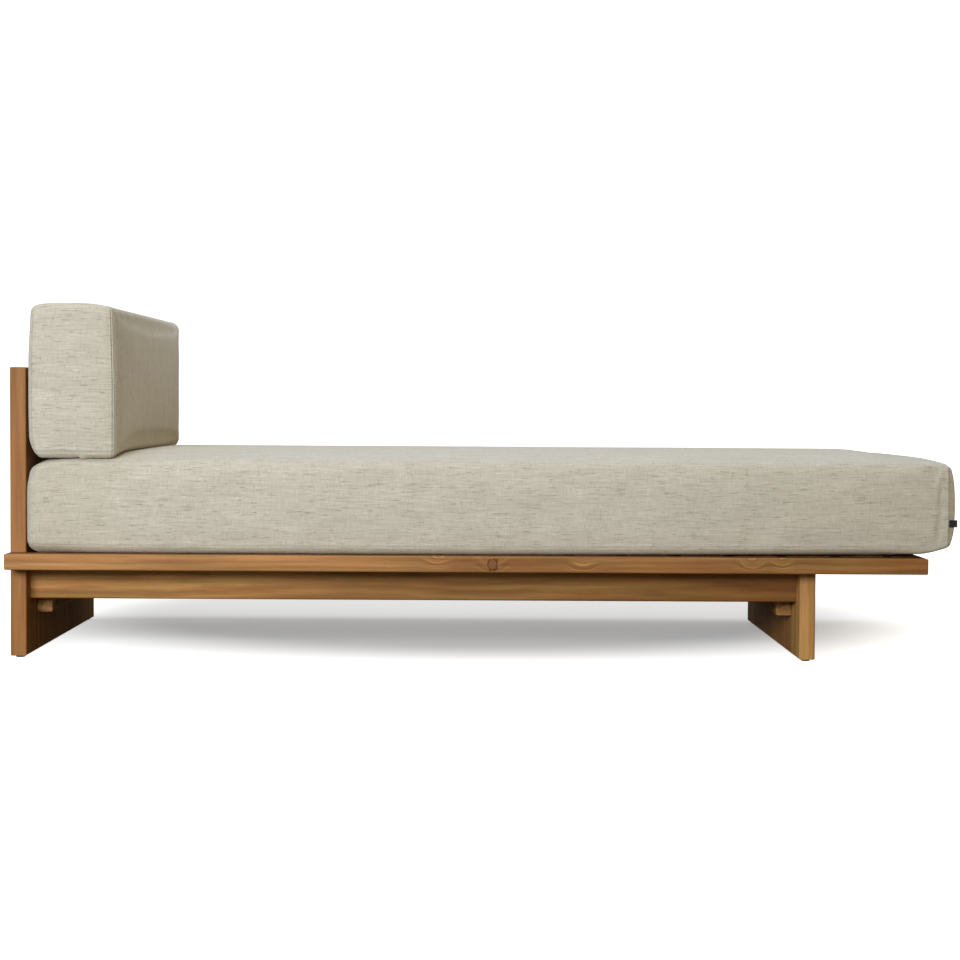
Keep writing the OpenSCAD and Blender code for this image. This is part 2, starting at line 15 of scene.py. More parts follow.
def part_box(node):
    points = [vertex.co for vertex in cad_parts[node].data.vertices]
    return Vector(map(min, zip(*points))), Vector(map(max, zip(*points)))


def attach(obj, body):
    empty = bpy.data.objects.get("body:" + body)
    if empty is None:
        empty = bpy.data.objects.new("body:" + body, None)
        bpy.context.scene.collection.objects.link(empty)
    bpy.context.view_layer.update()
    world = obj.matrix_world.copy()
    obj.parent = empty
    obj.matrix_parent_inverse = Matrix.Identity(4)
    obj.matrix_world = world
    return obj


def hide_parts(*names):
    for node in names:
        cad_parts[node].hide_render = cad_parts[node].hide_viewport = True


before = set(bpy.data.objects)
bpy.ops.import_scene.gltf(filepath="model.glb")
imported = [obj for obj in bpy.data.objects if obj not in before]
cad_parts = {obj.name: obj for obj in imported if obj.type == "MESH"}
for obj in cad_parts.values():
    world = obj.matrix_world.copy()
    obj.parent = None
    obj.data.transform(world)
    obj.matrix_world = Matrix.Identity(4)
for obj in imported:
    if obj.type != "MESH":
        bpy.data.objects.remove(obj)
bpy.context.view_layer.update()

log = logging.getLogger("sun_lounger")

Socket = bpy.types.NodeSocket
Value = float | Socket
Tint = tuple[float, float, float]
Triple = tuple[float, float, float]

SLACK = 1e-6
"""How near a cut place has to be to a side of its box to count as on it, in metres."""


class Along(Enum):
    """The axis that a board's grain runs along, as the order in which its coordinates are read."""

    X = ("X", "Y", "Z")
    Y = ("Y", "X", "Z")
    Z = ("Z", "X", "Y")


class Side(Enum):
    """The six sides of a box, each a panel of a sewn cover, numbered as Lattice lists them."""

    TOP = 0
    LOW = 1
    FOOT = 2
    HEAD = 3
    FAR = 4
    NEAR = 5


class Shader:
    """Adds nodes to one node tree and wires them."""

    def __init__(self, tree: bpy.types.NodeTree) -> None:
        """Empties the tree, so that it holds only what is added here."""
        self.tree = tree
        tree.nodes.clear()

    def add(self, kind: str, *inputs: object, **settings: object) -> bpy.types.Node:
        """Adds a node, sets it up and feeds its inputs in order.

        Args:
            kind: The node's type, without the word ShaderNode.
            *inputs: A socket to link or a value to set for each input; None leaves it as it is.
            **settings: The node's own properties.

        Returns:
            The new node.
        """
        made = self.tree.nodes.new("ShaderNode" + kind)
        for key, value in settings.items():
            setattr(made, key, value)
        for place, value in enumerate(inputs):
            if value is not None:
                self.feed(made.inputs[place], value)
        return made

    def feed(self, socket: Socket, value: object) -> None:
        """Links a socket, or sets its value.

        Args:
            socket: The input.
            value: A socket to link, a number or a tuple; three numbers make an opaque colour.
        """
        if isinstance(value, bpy.types.NodeSocket):
            self.tree.links.new(value, socket)
        elif isinstance(value, tuple) and socket.type == "RGBA" and len(value) == 3:
            socket.default_value = (*value, 1.0)
        else:
            socket.default_value = value

    def math(self, operation: str, *values: Value, clamp: bool = False) -> Socket:
        """A Math node's result."""
        return self.add("Math", *values, operation=operation, use_clamp=clamp).outputs[0]

    def times(self, *values: Value) -> Socket:
        """The product of the values."""
        return reduce(lambda first, second: self.math("MULTIPLY", first, second), values)

    def scaled(self, value: Socket, factor: Value, more: Value) -> Socket:
        """The value times a factor, plus some more."""
        return self.math("MULTIPLY_ADD", value, factor, more)

    def step(self, value: Socket, size: float) -> Socket:
        """How far a value has come through its step of the given size, from 0 to 1."""
        return self.math("FRACT", self.math("DIVIDE", value, size))

    def from_half(self, value: Socket) -> Socket:
        """How far a value lies from a half."""
        return self.math("ABSOLUTE", self.math("SUBTRACT", value, 0.5))

    def vector(self, operation: str, *values: object) -> Socket:
        """A Vector Math node's result; the second value of SCALE is a number.

        Args:
            operation: The node's operation.
            *values: A socket or a vector for each input.

        Returns:
            The result.
        """
        made = self.add("VectorMath", operation=operation)
        for place, value in enumerate(values):
            self.feed(made.inputs["Scale" if operation == "SCALE" and place else place], value)
        return made.outputs["Value" if operation == "LENGTH" else "Vector"]

    def joined(self, x: Value, y: Value, z: Value) -> Socket:
        """A vector from three numbers."""
        return self.add("CombineXYZ", x, y, z).outputs[0]

    def noise(self, where: Socket, scale: float, detail: float = 2.0, rough: float = 0.5,
              sizes: int = 3) -> Socket:
        """A noise's value, about 0.5, over a place with three sizes or over a number with one.

        Args:
            where: The place, or the number.
            scale: How many grains lie in one unit of it.
            detail: How many finer layers are added.
            rough: Strength of each finer layer.
            sizes: 3 for a place, 1 for a number.

        Returns:
            The noise's value.
        """
        made = self.add("TexNoise", noise_dimensions=f"{sizes}D")
        self.feed(made.inputs["W" if sizes == 1 else "Vector"], where)
        made.inputs["Scale"].default_value = scale
        made.inputs["Detail"].default_value = detail
        made.inputs["Roughness"].default_value = rough
        return made.outputs["Fac"]

    def stretched(self, where: Socket, grain: Triple, **noise: float) -> Socket:
        """A noise whose grains have the given sizes along the three axes, in metres."""
        scale = tuple(1.0 / size for size in grain)
        return self.noise(self.vector("MULTIPLY", where, scale), 1.0, **noise)

    def spread(self, value: Socket, low: float, high: float, to_low: Value = 0.0,
               to_high: Value = 1.0) -> Socket:
        """The value carried from low..high to to_low..to_high, clamped and with soft ends."""
        ends = (low, high, to_low, to_high)
        return self.add("MapRange", value, *ends, interpolation_type="SMOOTHSTEP").outputs[0]

    def mix(self, share: Value, first: object, second: object, blend: str = "MIX") -> Socket:
        """Two colours mixed.

        Args:
            share: Share of the second colour, from 0 to 1.
            first: The first colour.
            second: The second colour.
            blend: How the second colour is laid over the first.

        Returns:
            The mixed colour.
        """
        made = self.add("Mix", data_type="RGBA", blend_type=blend)
        self.feed(made.inputs[0], share)
        self.feed(made.inputs[6], first)
        self.feed(made.inputs[7], second)
        return made.outputs[2]

    def tinted(self, colour: Socket, tint: object) -> Socket:
        """Two colours multiplied."""
        return self.mix(1.0, colour, tint, "MULTIPLY")

    def ramp(self, value: Socket, stops: Sequence[tuple[float, Tint]]) -> Socket:
        """A colour ramp with the given stops.

        Args:
            value: A place on the ramp, from 0 to 1.
            stops: The place and the colour of each stop, in rising order.

        Returns:
            The colour at that place.
        """
        made = self.add("ValToRGB", value)
        bar = made.color_ramp.elements
        while len(bar) < len(stops):
            bar.new(0.5)
        for element, (place, tint) in zip(bar, stops):
            element.position = place
            element.color = (*tint, 1.0)
        return made.outputs[0]

    def bump(self, height: Socket, distance: float, strength: float) -> Socket:
        """A bumped normal.

        Args:
            height: The height that is bumped.
            distance: How far a height of 1 rises, in metres.
            strength: Share of the bump that shows.

        Returns:
            The normal.
        """
        made = self.add("Bump")
        made.inputs["Strength"].default_value = strength
        made.inputs["Distance"].default_value = distance
        self.feed(made.inputs["Height"], height)
        return made.outputs[0]

    def surface(self, links: dict[str, Socket], **constants: object) -> None:
        """Ends the tree in one Principled shader.

        Args:
            links: Sockets by the name of the input that they feed.
            **constants: Values by the input's name, with _ for a space, set on the shader itself.
        """
        shader = self.add("BsdfPrincipled")
        for name, value in constants.items():
            self.feed(shader.inputs[name.replace("_", " ")], value)
        for name, socket in links.items():
            self.feed(shader.inputs[name], socket)
        out = self.add("OutputMaterial")
        self.tree.links.new(shader.outputs[0], out.inputs["Surface"])


def new_material(name: str) -> tuple[bpy.types.Material, Shader]:
    """A material with an empty node tree, and the writer for it.

    Args:
        name: The material's name.

    Returns:
        The material and its writer.
    """
    material = bpy.data.materials.new(name)
    material.use_nodes = True
    return material, Shader(material.node_tree)


@dataclass(frozen=True)
class Flare:
    """A place where a board's rings bend, which shows as a flame or a knot on its face.

    Attributes:
        at: Centre in the row frame, in metres.
        reach: How far the bend reaches along the three axes, in metres.
        lift: How far the rings move there, in metres.
    """

    at: Triple
    reach: Triple
    lift: float


class Wood:
    """Numbers that all the boards share.

    Attributes:
        FIBRE: Size of the fibres along the grain and on the two cross axes, in metres.
        PORE: Size of the pores.
        PATCH: Size of the broad patches.
        STREAK: Size of the streaks that smudge the bands.
        TINGE: Size of the redder and more olive stretches.
        SWAY: Size of the rings' slow wandering.
        RIPPLE: Size of their small wandering.
        YEAR: Distance between two lines of late wood.
        FLAME: Distance between two light lines of a flame.
        APART: Move of a board's figure for each count of its seed.
        BANDS: Colours from the light to the dark bands.
        LATE: Colour of the late wood.
        REDDER: Factor on the colour of the redder stretches.
        OLIVE: Factor on the colour of the more olive ones.
        KNOT_OUTLINE: Distances from a knot's centre where its outline starts, is full, fades
            and ends.
        UPPER: Heights above a board's middle between which its upper face starts.
    """

    FIBRE = (0.07, 0.0013, 0.0013)
    PORE = (0.020, 0.0006, 0.0006)
    PATCH = (0.42, 0.035, 0.035)
    STREAK = (0.24, 0.009, 0.009)
    TINGE = (0.3, 0.014, 0.014)
    SWAY = (0.55, 0.12, 0.12)
    RIPPLE = (0.07, 0.016, 0.016)
    YEAR = 0.0061
    FLAME = 0.0085
    APART = (7.31, 1.7, 0.9)
    BANDS = ((0.0, (0.455, 0.250, 0.090)), (0.35, (0.385, 0.197, 0.064)),
             (0.7, (0.305, 0.145, 0.042)), (1.0, (0.225, 0.100, 0.027)))
    LATE = (0.17, 0.072, 0.02)
    REDDER = (1.1, 0.9, 0.8)
    OLIVE = (0.92, 1.03, 0.86)
    KNOT_OUTLINE = (0.0078, 0.0098, 0.0110, 0.0136)
    UPPER = (0.0160, 0.0172)


@dataclass(frozen=True)
class Teak:
    """Oiled teak: growth rings round a pith line beside the board, fibres, pores and broad bands.

    Attributes:
        along: The axis of the grain.
        centre: The board's centre, in metres.
        seed: Number that moves the board's figure to a place of its own.
        pith: Distance of the pith line from the board's centre on the two cross axes, in metres.
        tone: Factor on the colour's brightness.
        fade: Change of that factor per metre along the grain.
        warmth: From -1, olive, to 1, red.
        figure: How far the rings wander, in metres.
        contrast: Strength of rings and bands.
        flares: Bends of the rings at given places.
        knot: Centre of a knot on the board's face, in metres, or None.
        rise: Change of the brightness per metre along the second cross axis, painted light that
        lightens a board's upper part where it lies in shade.
        blue: Factor on the colour's blue.
        stain: Place on the first cross axis beyond which the upper face is darkened
        as painted shade, or None.
    """

    along: Along
    centre: Triple
    seed: int = 0
    pith: tuple[float, float] = (0.03, 0.05)
    tone: float = 1.0
    fade: float = 0.0
    warmth: float = 0.0
    figure: float = 0.03
    contrast: float = 1.0
    flares: tuple[Flare, ...] = ()
    knot: Triple | None = None
    rise: float = 0.0
    blue: float = 1.0
    stain: float | None = None

    def material(self, name: str) -> bpy.types.Material:
        """The board's own material.

        Args:
            name: The part's name.

        Returns:
            The material.
        """
        material, make = new_material("teak_" + name)
        spot = make.add("TexCoord").outputs["Object"]
        parts = make.add("SeparateXYZ", make.vector("SUBTRACT", spot, self.centre)).outputs
        g, a, b = (parts[axis] for axis in self.along.value)
        apart = tuple(step * self.seed for step in Wood.APART)
        moved = make.vector("ADD", make.joined(g, a, b), apart)

        ring, flame = self._ring_distance(make, spot, moved, a, b)
        knot = None
        if self.knot:
            ring, knot = self._knot(make, spot, ring)
        colour, late = self._bands(make, ring, moved)
        fibre = make.stretched(moved, Wood.FIBRE, detail=3.0, rough=0.6)
        pores = make.spread(make.stretched(moved, Wood.PORE, detail=1.0), 0.6, 0.8)
        patch = make.stretched(moved, Wood.PATCH, detail=2.0)

        # Where rise is set, the first factor lightens the board's upper part as painted light.
        tones = [
            make.scaled(b, self.rise, make.scaled(g, self.fade, self.tone)),
            make.spread(fibre, 0.25, 0.75, 0.91, 1.09),
            make.spread(patch, 0.25, 0.75, 0.80, 1.20),
            make.scaled(pores, -0.16, 1.0)]
        if flame is not None:
            tones.append(self._flame(make, ring, flame))
        if knot is not None:
            tones.append(knot)
        # Painted shade on the upper face where the mattress overhangs it.
        if self.stain is not None:
            tones.append(self._stained(make, a, b))
        tone = make.times(*tones)
        bluish = make.times(make.math("POWER", tone, 1.7), self.blue)
        colour = make.tinted(colour, make.joined(tone, make.math("POWER", tone, 1.2), bluish))

        rough = make.spread(fibre, 0.2, 0.8, 0.5, 0.66)
        height = make.math("SUBTRACT", make.times(fibre, 0.5), pores)
        normal = make.bump(make.scaled(late, -0.3, height), 0.0003, 0.4)
        make.surface({"Base Color": colour, "Roughness": rough, "Normal": normal},
                     Specular_IOR_Level=0.3)
        return material

    def _ring_distance(self, make: Shader, spot: Socket, moved: Socket, a: Socket,
                       b: Socket) -> tuple[Socket, Socket | None]:
        """Distance from the wandering pith line, and how near a point is to a flame, from 0 to 1.

        The distance is sqrt((a - a0)^2 + (b - b0)^2) plus two noises and the lift of each flare.

        Args:
            make: The material's writer.
            spot: Place in the row frame.
            moved: Place in the board's own figure.
            a: Place on the first cross axis, from the board's centre.
            b: Place on the second cross axis.

        Returns:
            The distance, and the nearness, or None where the board has no flame.
        """
        da, db = (make.math("SUBTRACT", *pair) for pair in zip((a, b), self.pith))
        ring = make.math("SQRT", make.math("ADD", make.times(da, da), make.times(db, db)))
        for size, share in ((Wood.SWAY, 1.0), (Wood.RIPPLE, 0.2)):
            ring = make.scaled(make.stretched(moved, size, detail=2.0), self.figure * share, ring)
        flame = None
        for flare in self.flares:
            away = make.vector("SUBTRACT", spot, flare.at)
            away = make.vector("MULTIPLY", away, tuple(1.0 / reach for reach in flare.reach))
            near = make.spread(make.vector("LENGTH", away), 0.0, 1.0, 1.0, 0.0)
            ring = make.scaled(near, flare.lift, ring)
            flame = near if flame is None else make.math("MAXIMUM", flame, near)
        return ring, flame

    def _flame(self, make: Shader, ring: Socket, flame: Socket) -> Socket:
        """The factor that draws light lines between the rings near a flame.

        Args:
            make: The material's writer.
            ring: Distance from the pith line.
            flame: How near a point is to a flame, from 0 to 1.

        Returns:
            The factor.
        """
        line = make.spread(make.from_half(make.step(ring, Wood.FLAME)), 0.11, 0.02)
        near = make.math("MULTIPLY", flame, 1.6, clamp=True)
        return make.scaled(make.times(line, near), 0.75, 1.0)

    def _stained(self, make: Shader, a: Socket, b: Socket) -> Socket:
        """The factor that darkens the upper face beyond its edge, as painted shade."""
        beyond = make.spread(a, self.stain, self.stain + 0.007)
        return make.scaled(make.times(beyond, make.spread(b, *Wood.UPPER)), -0.55, 1.0)

    def _bands(self, make: Shader, ring: Socket, moved: Socket) -> tuple[Socket, Socket]:
        """Colour and late-wood lines as functions of the ring distance, smudged by streaks.

        Args:
            make: The material's writer.
            ring: Distance from the pith line.
            moved: Place in the board's own figure.

        Returns:
            The colour, and the late wood from 0 to 1 at its lines.
        """
        year = make.step(ring, Wood.YEAR)
        late = make.times(make.spread(year, 0.3, 0.9), make.spread(year, 1.0, 0.9))
        band = make.noise(ring, 70.0, 2.5, sizes=1)
        streak = make.stretched(moved, Wood.STREAK, detail=3.0, rough=0.55)
        dark = make.math("ADD", make.times(band, 0.5), make.times(streak, 0.5))
        soft = 0.17 / self.contrast
        colour = make.ramp(make.spread(dark, 0.5 - soft, 0.5 + soft), Wood.BANDS)
        tinge = make.stretched(moved, Wood.TINGE, detail=2.0)
        red = make.spread(tinge, 0.42 - 0.12 * self.warmth, 0.68 - 0.12 * self.warmth, 0.0, 0.6)
        colour = make.mix(red, colour, make.tinted(colour, Wood.REDDER))
        olive = make.spread(tinge, 0.5 - 0.1 * self.warmth, 0.28 - 0.1 * self.warmth, 0.0, 0.8)
        colour = make.mix(olive, colour, make.tinted(colour, Wood.OLIVE))
        return make.mix(make.times(late, 0.16 * self.contrast), colour, Wood.LATE), late

    def _knot(self, make: Shader, spot: Socket, ring: Socket) -> tuple[Socket, Socket]:
        """Bends the rings round the knot and gives the factor for its outline and cracks.

        Args:
            make: The material's writer.
            spot: Place in the row frame.
            ring: Distance from the pith line.

        Returns:
            The bent distance, and the factor.
        """
        away = make.vector("SUBTRACT", spot, self.knot)
        noise = make.add("TexNoise", away, None, 130.0, 2.0).outputs["Color"]
        uneven = make.vector("SCALE", make.vector("SUBTRACT", noise, (0.5, 0.5, 0.5)), 0.017)
        away = make.vector("ADD", make.vector("MULTIPLY", away, (1.0, 0.0, 0.85)), uneven)
        far = make.vector("LENGTH", away)
        ring = make.math("ADD", ring, make.spread(far, 0.008, 0.045, 0.016, 0.0))
        start, full, fades, ends = Wood.KNOT_OUTLINE
        outline = make.times(make.spread(far, start, full), make.spread(far, ends, fades))
        crack = make.spread(make.from_half(make.noise(away, 190.0, 1.0)), 0.045, 0.015)
        crack = make.times(crack, make.spread(far, 0.0105, 0.008))
        dark = make.math("MAXIMUM", make.times(outline, 0.68), make.times(crack, 0.55))
        dark = make.math("MAXIMUM", dark, make.spread(far, 0.011, 0.009, 0.0, 0.14))
        return ring, make.math("SUBTRACT", 1.0, dark)


@dataclass(frozen=True)
class CoverCloth:
    """Slubbed outdoor cloth, plain woven from heathered yarns of uneven thickness.

    Attributes:
        base: Colour of the ground weave.
        dark: Colour of the darkest slubs.
        light: Colour of the lightest slubs.
        pitch: Distance between two yarns, in metres.
        slub: Length of a slub, in metres.
        shading_tint: Change of the three colour shares per unit of painted shading.
    """

    base: Tint = (0.545, 0.525, 0.452)
    dark: Tint = (0.270, 0.240, 0.178)
    light: Tint = (0.80, 0.785, 0.720)
    pitch: float = 0.0019
    slub: float = 0.052
    shading_tint: Tint = (-0.10, -0.13, -0.20)

    def material(self) -> bpy.types.Material:
        """The cloth on a cover, laid by the panels' own cutting coordinates.

        The colour of a yarn is a noise of its own number and of the place along it, so that
        neighbours differ. Weft and warp take turns on top, as in a plain weave.

        Returns:
            The material.
        """
        material, make = new_material("cover_cloth")
        uv = make.add("UVMap", uv_map="cut").outputs[0]
        u, v = make.add("SeparateXYZ", uv).outputs[:2]
        seam, shading_share = (make.add("Attribute", attribute_name=name).outputs["Fac"]
                     for name in ("seam", "painted_shading"))
        v = make.scaled(make.stretched(uv, (0.09, 0.05, 1.0), detail=1.0), 0.0018, v)

        weft, weft_number, weft_arch = self._yarn(make, u, v, self.slub)
        warp, warp_number, warp_arch = self._yarn(make, v, u, 0.45 * self.slub)
        turn = make.math("FRACT", make.times(make.math("ADD", weft_number, warp_number), 0.5))
        over = make.spread(turn, 0.2, 0.3)
        colour = make.mix(make.scaled(over, 0.30, 0.18), weft, warp)

        cloud = make.stretched(uv, (0.22, 0.05, 1.0), detail=2.0)
        # Painted shade between the yarns: the tone is darker where their backs dip.
        gap = make.times(weft_arch, make.scaled(warp_arch, 0.4, 0.6))
        # The seam mark darkens the tone in each seam's groove as painted shade.
        tone = make.times(make.spread(cloud, 0.25, 0.75, 0.965, 1.035),
                          make.scaled(seam, -0.17, 1.0), make.scaled(gap, 0.16, 0.90))
        # The pad's painted shading darkens and yellows the cloth as painted shade where it is
        # positive, and lightens it as painted light where it is negative.
        tones = (make.times(tone, make.scaled(shading_share, change, 1.0)) for change in self.shading_tint)
        colour = make.tinted(colour, make.joined(*tones))

        normal = make.bump(gap, 0.0004, 0.35)
        rough = make.spread(cloud, 0.2, 0.8, 0.84, 0.94)
        make.surface(
            {"Base Color": colour, "Normal": normal, "Roughness": rough}, Specular_IOR_Level=0.15,
            Sheen_Weight=0.2, Sheen_Roughness=0.5, Sheen_Tint=(0.9, 0.95, 1.0))
        return material

    def _yarn(self, make: Shader, along: Socket, across: Socket,
              length: float) -> tuple[Socket, Socket, Socket]:
        """The yarns of one direction.

        Args:
            make: The material's writer.
            along: Place along the yarns, in metres.
            across: Place across them, in metres.
            length: Length of a slub, in metres.

        Returns:
            Their colour, their number, and the arch of their backs from 0 at a gap to 1.
        """
        number = make.math("FLOOR", make.math("DIVIDE", across, self.pitch))
        place = make.joined(make.math("DIVIDE", along, length), make.times(number, 7.37), 0.0)
        other = make.vector("MULTIPLY_ADD", place, (1.7, 1.0, 1.0), (31.0, 5.3, 0.0))
        slub, fleck = make.noise(place, 1.0, 1.0, 0.4), make.noise(other, 1.0, 1.0)
        colour = self.base
        for noise, low, high, share, tint in (
                (slub, 0.52, 0.85, 0.55, self.light), (slub, 0.50, 0.24, 0.45, self.dark),
                (fleck, 0.61, 0.73, 0.8, self.dark), (fleck, 0.36, 0.26, 0.5, self.light)):
            colour = make.mix(make.spread(noise, low, high, 0.0, share), colour, tint)
        arch = make.math("SINE", make.times(make.step(across, self.pitch), math.pi))
        return colour, number, arch


@dataclass(frozen=True)
class PlainFinish:
    """A finish of one substance, with fine noise on its colour and roughness and a light bump.

    Attributes:
        name: The material's name.
        colour: Main colour.
        shade: Colour of the darker patches.
        grain: Size of the patches along the three axes, in metres.
        rough: Lowest and highest roughness.
        metal: Metallic value.
        relief: Height of the bump, in metres.
        specular: Specular level.
    """

    name: str
    colour: Tint
    shade: Tint
    grain: Triple = (0.003, 0.003, 0.003)
    rough: tuple[float, float] = (0.4, 0.6)
    metal: float = 0.0
    relief: float = 0.0001
    specular: float = 0.5

    def material(self) -> bpy.types.Material:
        """The finish's material on Object coordinates.

        Returns:
            The material.
        """
        material, make = new_material(self.name)
        spot = make.add("TexCoord").outputs["Object"]
        patches = make.stretched(spot, self.grain, detail=3.0, rough=0.6)
        wear = make.noise(spot, 60.0, 2.0)
        colour = make.mix(make.spread(patches, 0.35, 0.7), self.colour, self.shade)
        rough = make.spread(wear, 0.3, 0.7, *self.rough)
        normal = make.bump(patches, self.relief, 0.4)
        make.surface(
            {"Base Color": colour, "Roughness": rough, "Normal": normal},
            Metallic=self.metal, Specular_IOR_Level=self.specular)
        return material


def new_mesh(name: str, points: np.ndarray, faces: np.ndarray,
             soft: bool = True) -> bpy.types.Object:
    """Makes an object from arrays.

    Args:
        name: The object's name.
        points: Vertices, one row each, in metres.
        faces: Vertex numbers of the faces, one row each, anticlockwise from outside.
        soft: Whether the faces are shaded smooth.

    Returns:
        The object, linked to the scene.
    """
    mesh = bpy.data.meshes.new(name)
    mesh.vertices.add(len(points))
    mesh.vertices.foreach_set("co", np.ascontiguousarray(points, np.float32).ravel())
    corners = faces.shape[1]
    mesh.loops.add(faces.size)
    mesh.loops.foreach_set("vertex_index", np.ascontiguousarray(faces, np.int32).ravel())
    mesh.polygons.add(len(faces))
    mesh.polygons.foreach_set("loop_start", np.arange(0, faces.size, corners, dtype=np.int32))
    mesh.polygons.foreach_set("use_smooth", np.full(len(faces), soft))
    mesh.update(calc_edges=True)
    mesh.validate()
    thing = bpy.data.objects.new(name, mesh)
    bpy.context.scene.collection.objects.link(thing)
    return thing


def read_rows(layer: bpy.types.bpy_prop_collection, key: str) -> np.ndarray:
    """The vectors in a layer of a mesh, as rows.

    Args:
        layer: The layer.
        key: The vectors' name in it.

    Returns:
        One row for each item of the layer.
    """
    rows = np.empty(len(layer) * 3, np.float32)
    layer.foreach_get(key, rows)
    return rows.reshape(-1, 3).astype(float)


def write_points(mesh: bpy.types.Mesh, points: np.ndarray) -> None:
    """Puts rows back into a mesh's vertices."""
    mesh.vertices.foreach_set("co", np.ascontiguousarray(points, np.float32).ravel())
    mesh.update()


def mark_points(mesh: bpy.types.Mesh, name: str, values: np.ndarray) -> None:
    """Gives a mesh's vertices a number each, which the cover's material reads."""
    layer = mesh.attributes.new(name, "FLOAT", "POINT")
    layer.data.foreach_set("value", values.astype(np.float32))


def graded(length: float, edge: float, fine: float, coarse: float) -> np.ndarray:
    """Places from -length/2 to length/2 whose step grows from fine at both ends to coarse.

    The step at the distance d from the nearer end is fine + (coarse - fine) * w(d), where w is
    the smooth step of (d - edge) / (2 * edge). The places lie at equal shares of the integral
    of 1/step, which is summed over 6000 slices.

    Args:
        length: The whole length, in metres.
        edge: How far from an end the step starts to grow.
        fine: Step at both ends.
        coarse: Largest step.

    Returns:
        The places, in rising order.
    """
    s = np.linspace(0.0, length, 6001)
    step = fine + (coarse - fine) * smooth(np.minimum(s, length - s), edge, 3.0 * edge)
    slices = 0.5 * (1.0 / step[1:] + 1.0 / step[:-1]) * np.diff(s)
    count = np.concatenate([[0.0], np.cumsum(slices)])
    pieces = int(math.ceil(count[-1] / 2.0)) * 2
    return np.interp(np.linspace(0.0, count[-1], pieces + 1), count, s) - length / 2.0


def with_marks(places: np.ndarray, marks: Sequence[float], room: float) -> np.ndarray:
    """The places and the marks, without inner places that are nearer than room to a mark.

    Args:
        places: Places of the grid, in rising order.
        marks: Places that the grid has to have.
        room: Least distance between a mark and any other place.

    Returns:
        All places, in rising order.
    """
    marks = np.asarray(marks)
    kept = np.abs(places[:, None] - marks[None, :]).min(axis=1) > room
    kept[[0, -1]] = True
    return np.sort(np.concatenate([places[kept], marks]))


@dataclass
class Lattice:
    """The six sides of a box as one closed mesh of quads, before it is shaped.

    Attributes:
        cut: Flat places of the vertices on the box, one row each.
        faces: Vertex numbers of the quads.
        side: The Side number of each quad.
    """

    cut: np.ndarray
    faces: np.ndarray
    side: np.ndarray

    @classmethod
    def of(cls, xs: np.ndarray, ys: np.ndarray, zs: np.ndarray) -> "Lattice":
        """Numbers the points of the grid xs * ys * zs that lie on its outside and joins them.

        Args:
            xs: Grid places along X.
            ys: Grid places along Y.
            zs: Grid places along Z.

        Returns:
            The box's outside.
        """
        sizes = len(xs), len(ys), len(zs)
        places = np.indices(sizes)
        outside = np.any([(place == 0) | (place == size - 1)
                          for place, size in zip(places, sizes)], axis=0)
        number = np.full(sizes, -1)
        number[outside] = np.arange(outside.sum())
        cut = np.stack([line[place[outside]] for line, place in zip((xs, ys, zs), places)], axis=1)

        def quads(sheet: np.ndarray, turned: bool) -> np.ndarray:
            """The quads of one side, turned over where the sheet is seen from inside."""
            four = np.stack([sheet[:-1, :-1], sheet[1:, :-1], sheet[1:, 1:], sheet[:-1, 1:]], -1)
            return four.reshape(-1, 4)[:, ::-1 if turned else 1]

        sides = [
            quads(number[:, :, -1], False), quads(number[:, :, 0], True),
            quads(number[-1], False), quads(number[0], True),
            quads(number[:, -1, :], True), quads(number[:, 0, :], False)]
        side = np.concatenate([np.full(len(s), place) for place, s in enumerate(sides)])
        return cls(cut, np.concatenate(sides), side)


def rounded(cut: np.ndarray, half: Sequence[float], corner: np.ndarray, top: np.ndarray,
            low: np.ndarray) -> np.ndarray:
    """Rounds a box: upright corners by corner, upper edges by top and lower ones by low.

    The radii are one number for each point. Those of top and low are at most as large as corner.

    Each point is its nearest point c of the inner box plus a vector d. On plan the square round c
    becomes a disc: the direction of d, with the length m = max(|dx|, |dy|). In the upright plane
    through that direction the outer square corner becomes a quarter turn of radius r about
    corner - r, at the angle atan2(t, |dz| / r) from the vertical with t = (m - corner + r) / r.

    Args:
        cut: Points of the box, one row each.
        half: Half the box's sizes.
        corner: Radius of the upright corners, for each point.
        top: Radius of the upper edges.
        low: Radius of the lower edges.

    Returns:
        The rounded points, one row each.
    """
    inner = np.empty_like(cut)
    inner[:, 0] = np.clip(cut[:, 0], corner - half[0], half[0] - corner)
    inner[:, 1] = np.clip(cut[:, 1], corner - half[1], half[1] - corner)
    inner[:, 2] = np.clip(cut[:, 2], low - half[2], half[2] - top)
    d = cut - inner
    m = np.maximum(np.abs(d[:, 0]), np.abs(d[:, 1]))
    length = np.hypot(d[:, 0], d[:, 1])
    way = d[:, :2] / np.where(length > 1e-9, length, 1.0)[:, None]
    r = np.where(d[:, 2] >= 0.0, top, low)
    t = np.clip((m - corner + r) / r, 0.0, 1.0)
    turn = np.arctan2(t, np.abs(d[:, 2]) / r)
    out = np.where(m > corner - r, corner - r + r * np.sin(turn), m)
    shaped = inner.copy()
    shaped[:, :2] += way * out[:, None]
    shaped[:, 2] += np.sign(d[:, 2]) * r * np.where(m > corner - r, np.cos(turn), 1.0)
    return shaped


def smooth(value: np.ndarray, low: float, high: float) -> np.ndarray:
    """The smooth step of value from low to high."""
    t = np.clip((value - low) / (high - low), 0.0, 1.0)
    return t * t * (3.0 - 2.0 * t)


def ramp(value: np.ndarray, start: float, length: float) -> np.ndarray:
    """A straight ramp that starts at start and reaches 1 a length further on."""
    return np.clip((value - start) / length, 0.0, 1.0)


def smaller(first: np.ndarray, second: float, blend: float) -> np.ndarray:
    """The smaller of two, blended: -blend * log(exp(-first / blend) + exp(-second / blend))."""
    return -blend * np.logaddexp(-first / blend, -second / blend)


def bulge(share: np.ndarray) -> np.ndarray:
    """How far a panel swells at a share of the way from its middle to its seam: 1 - |share|^3."""
    return 1.0 - np.abs(share) ** 3


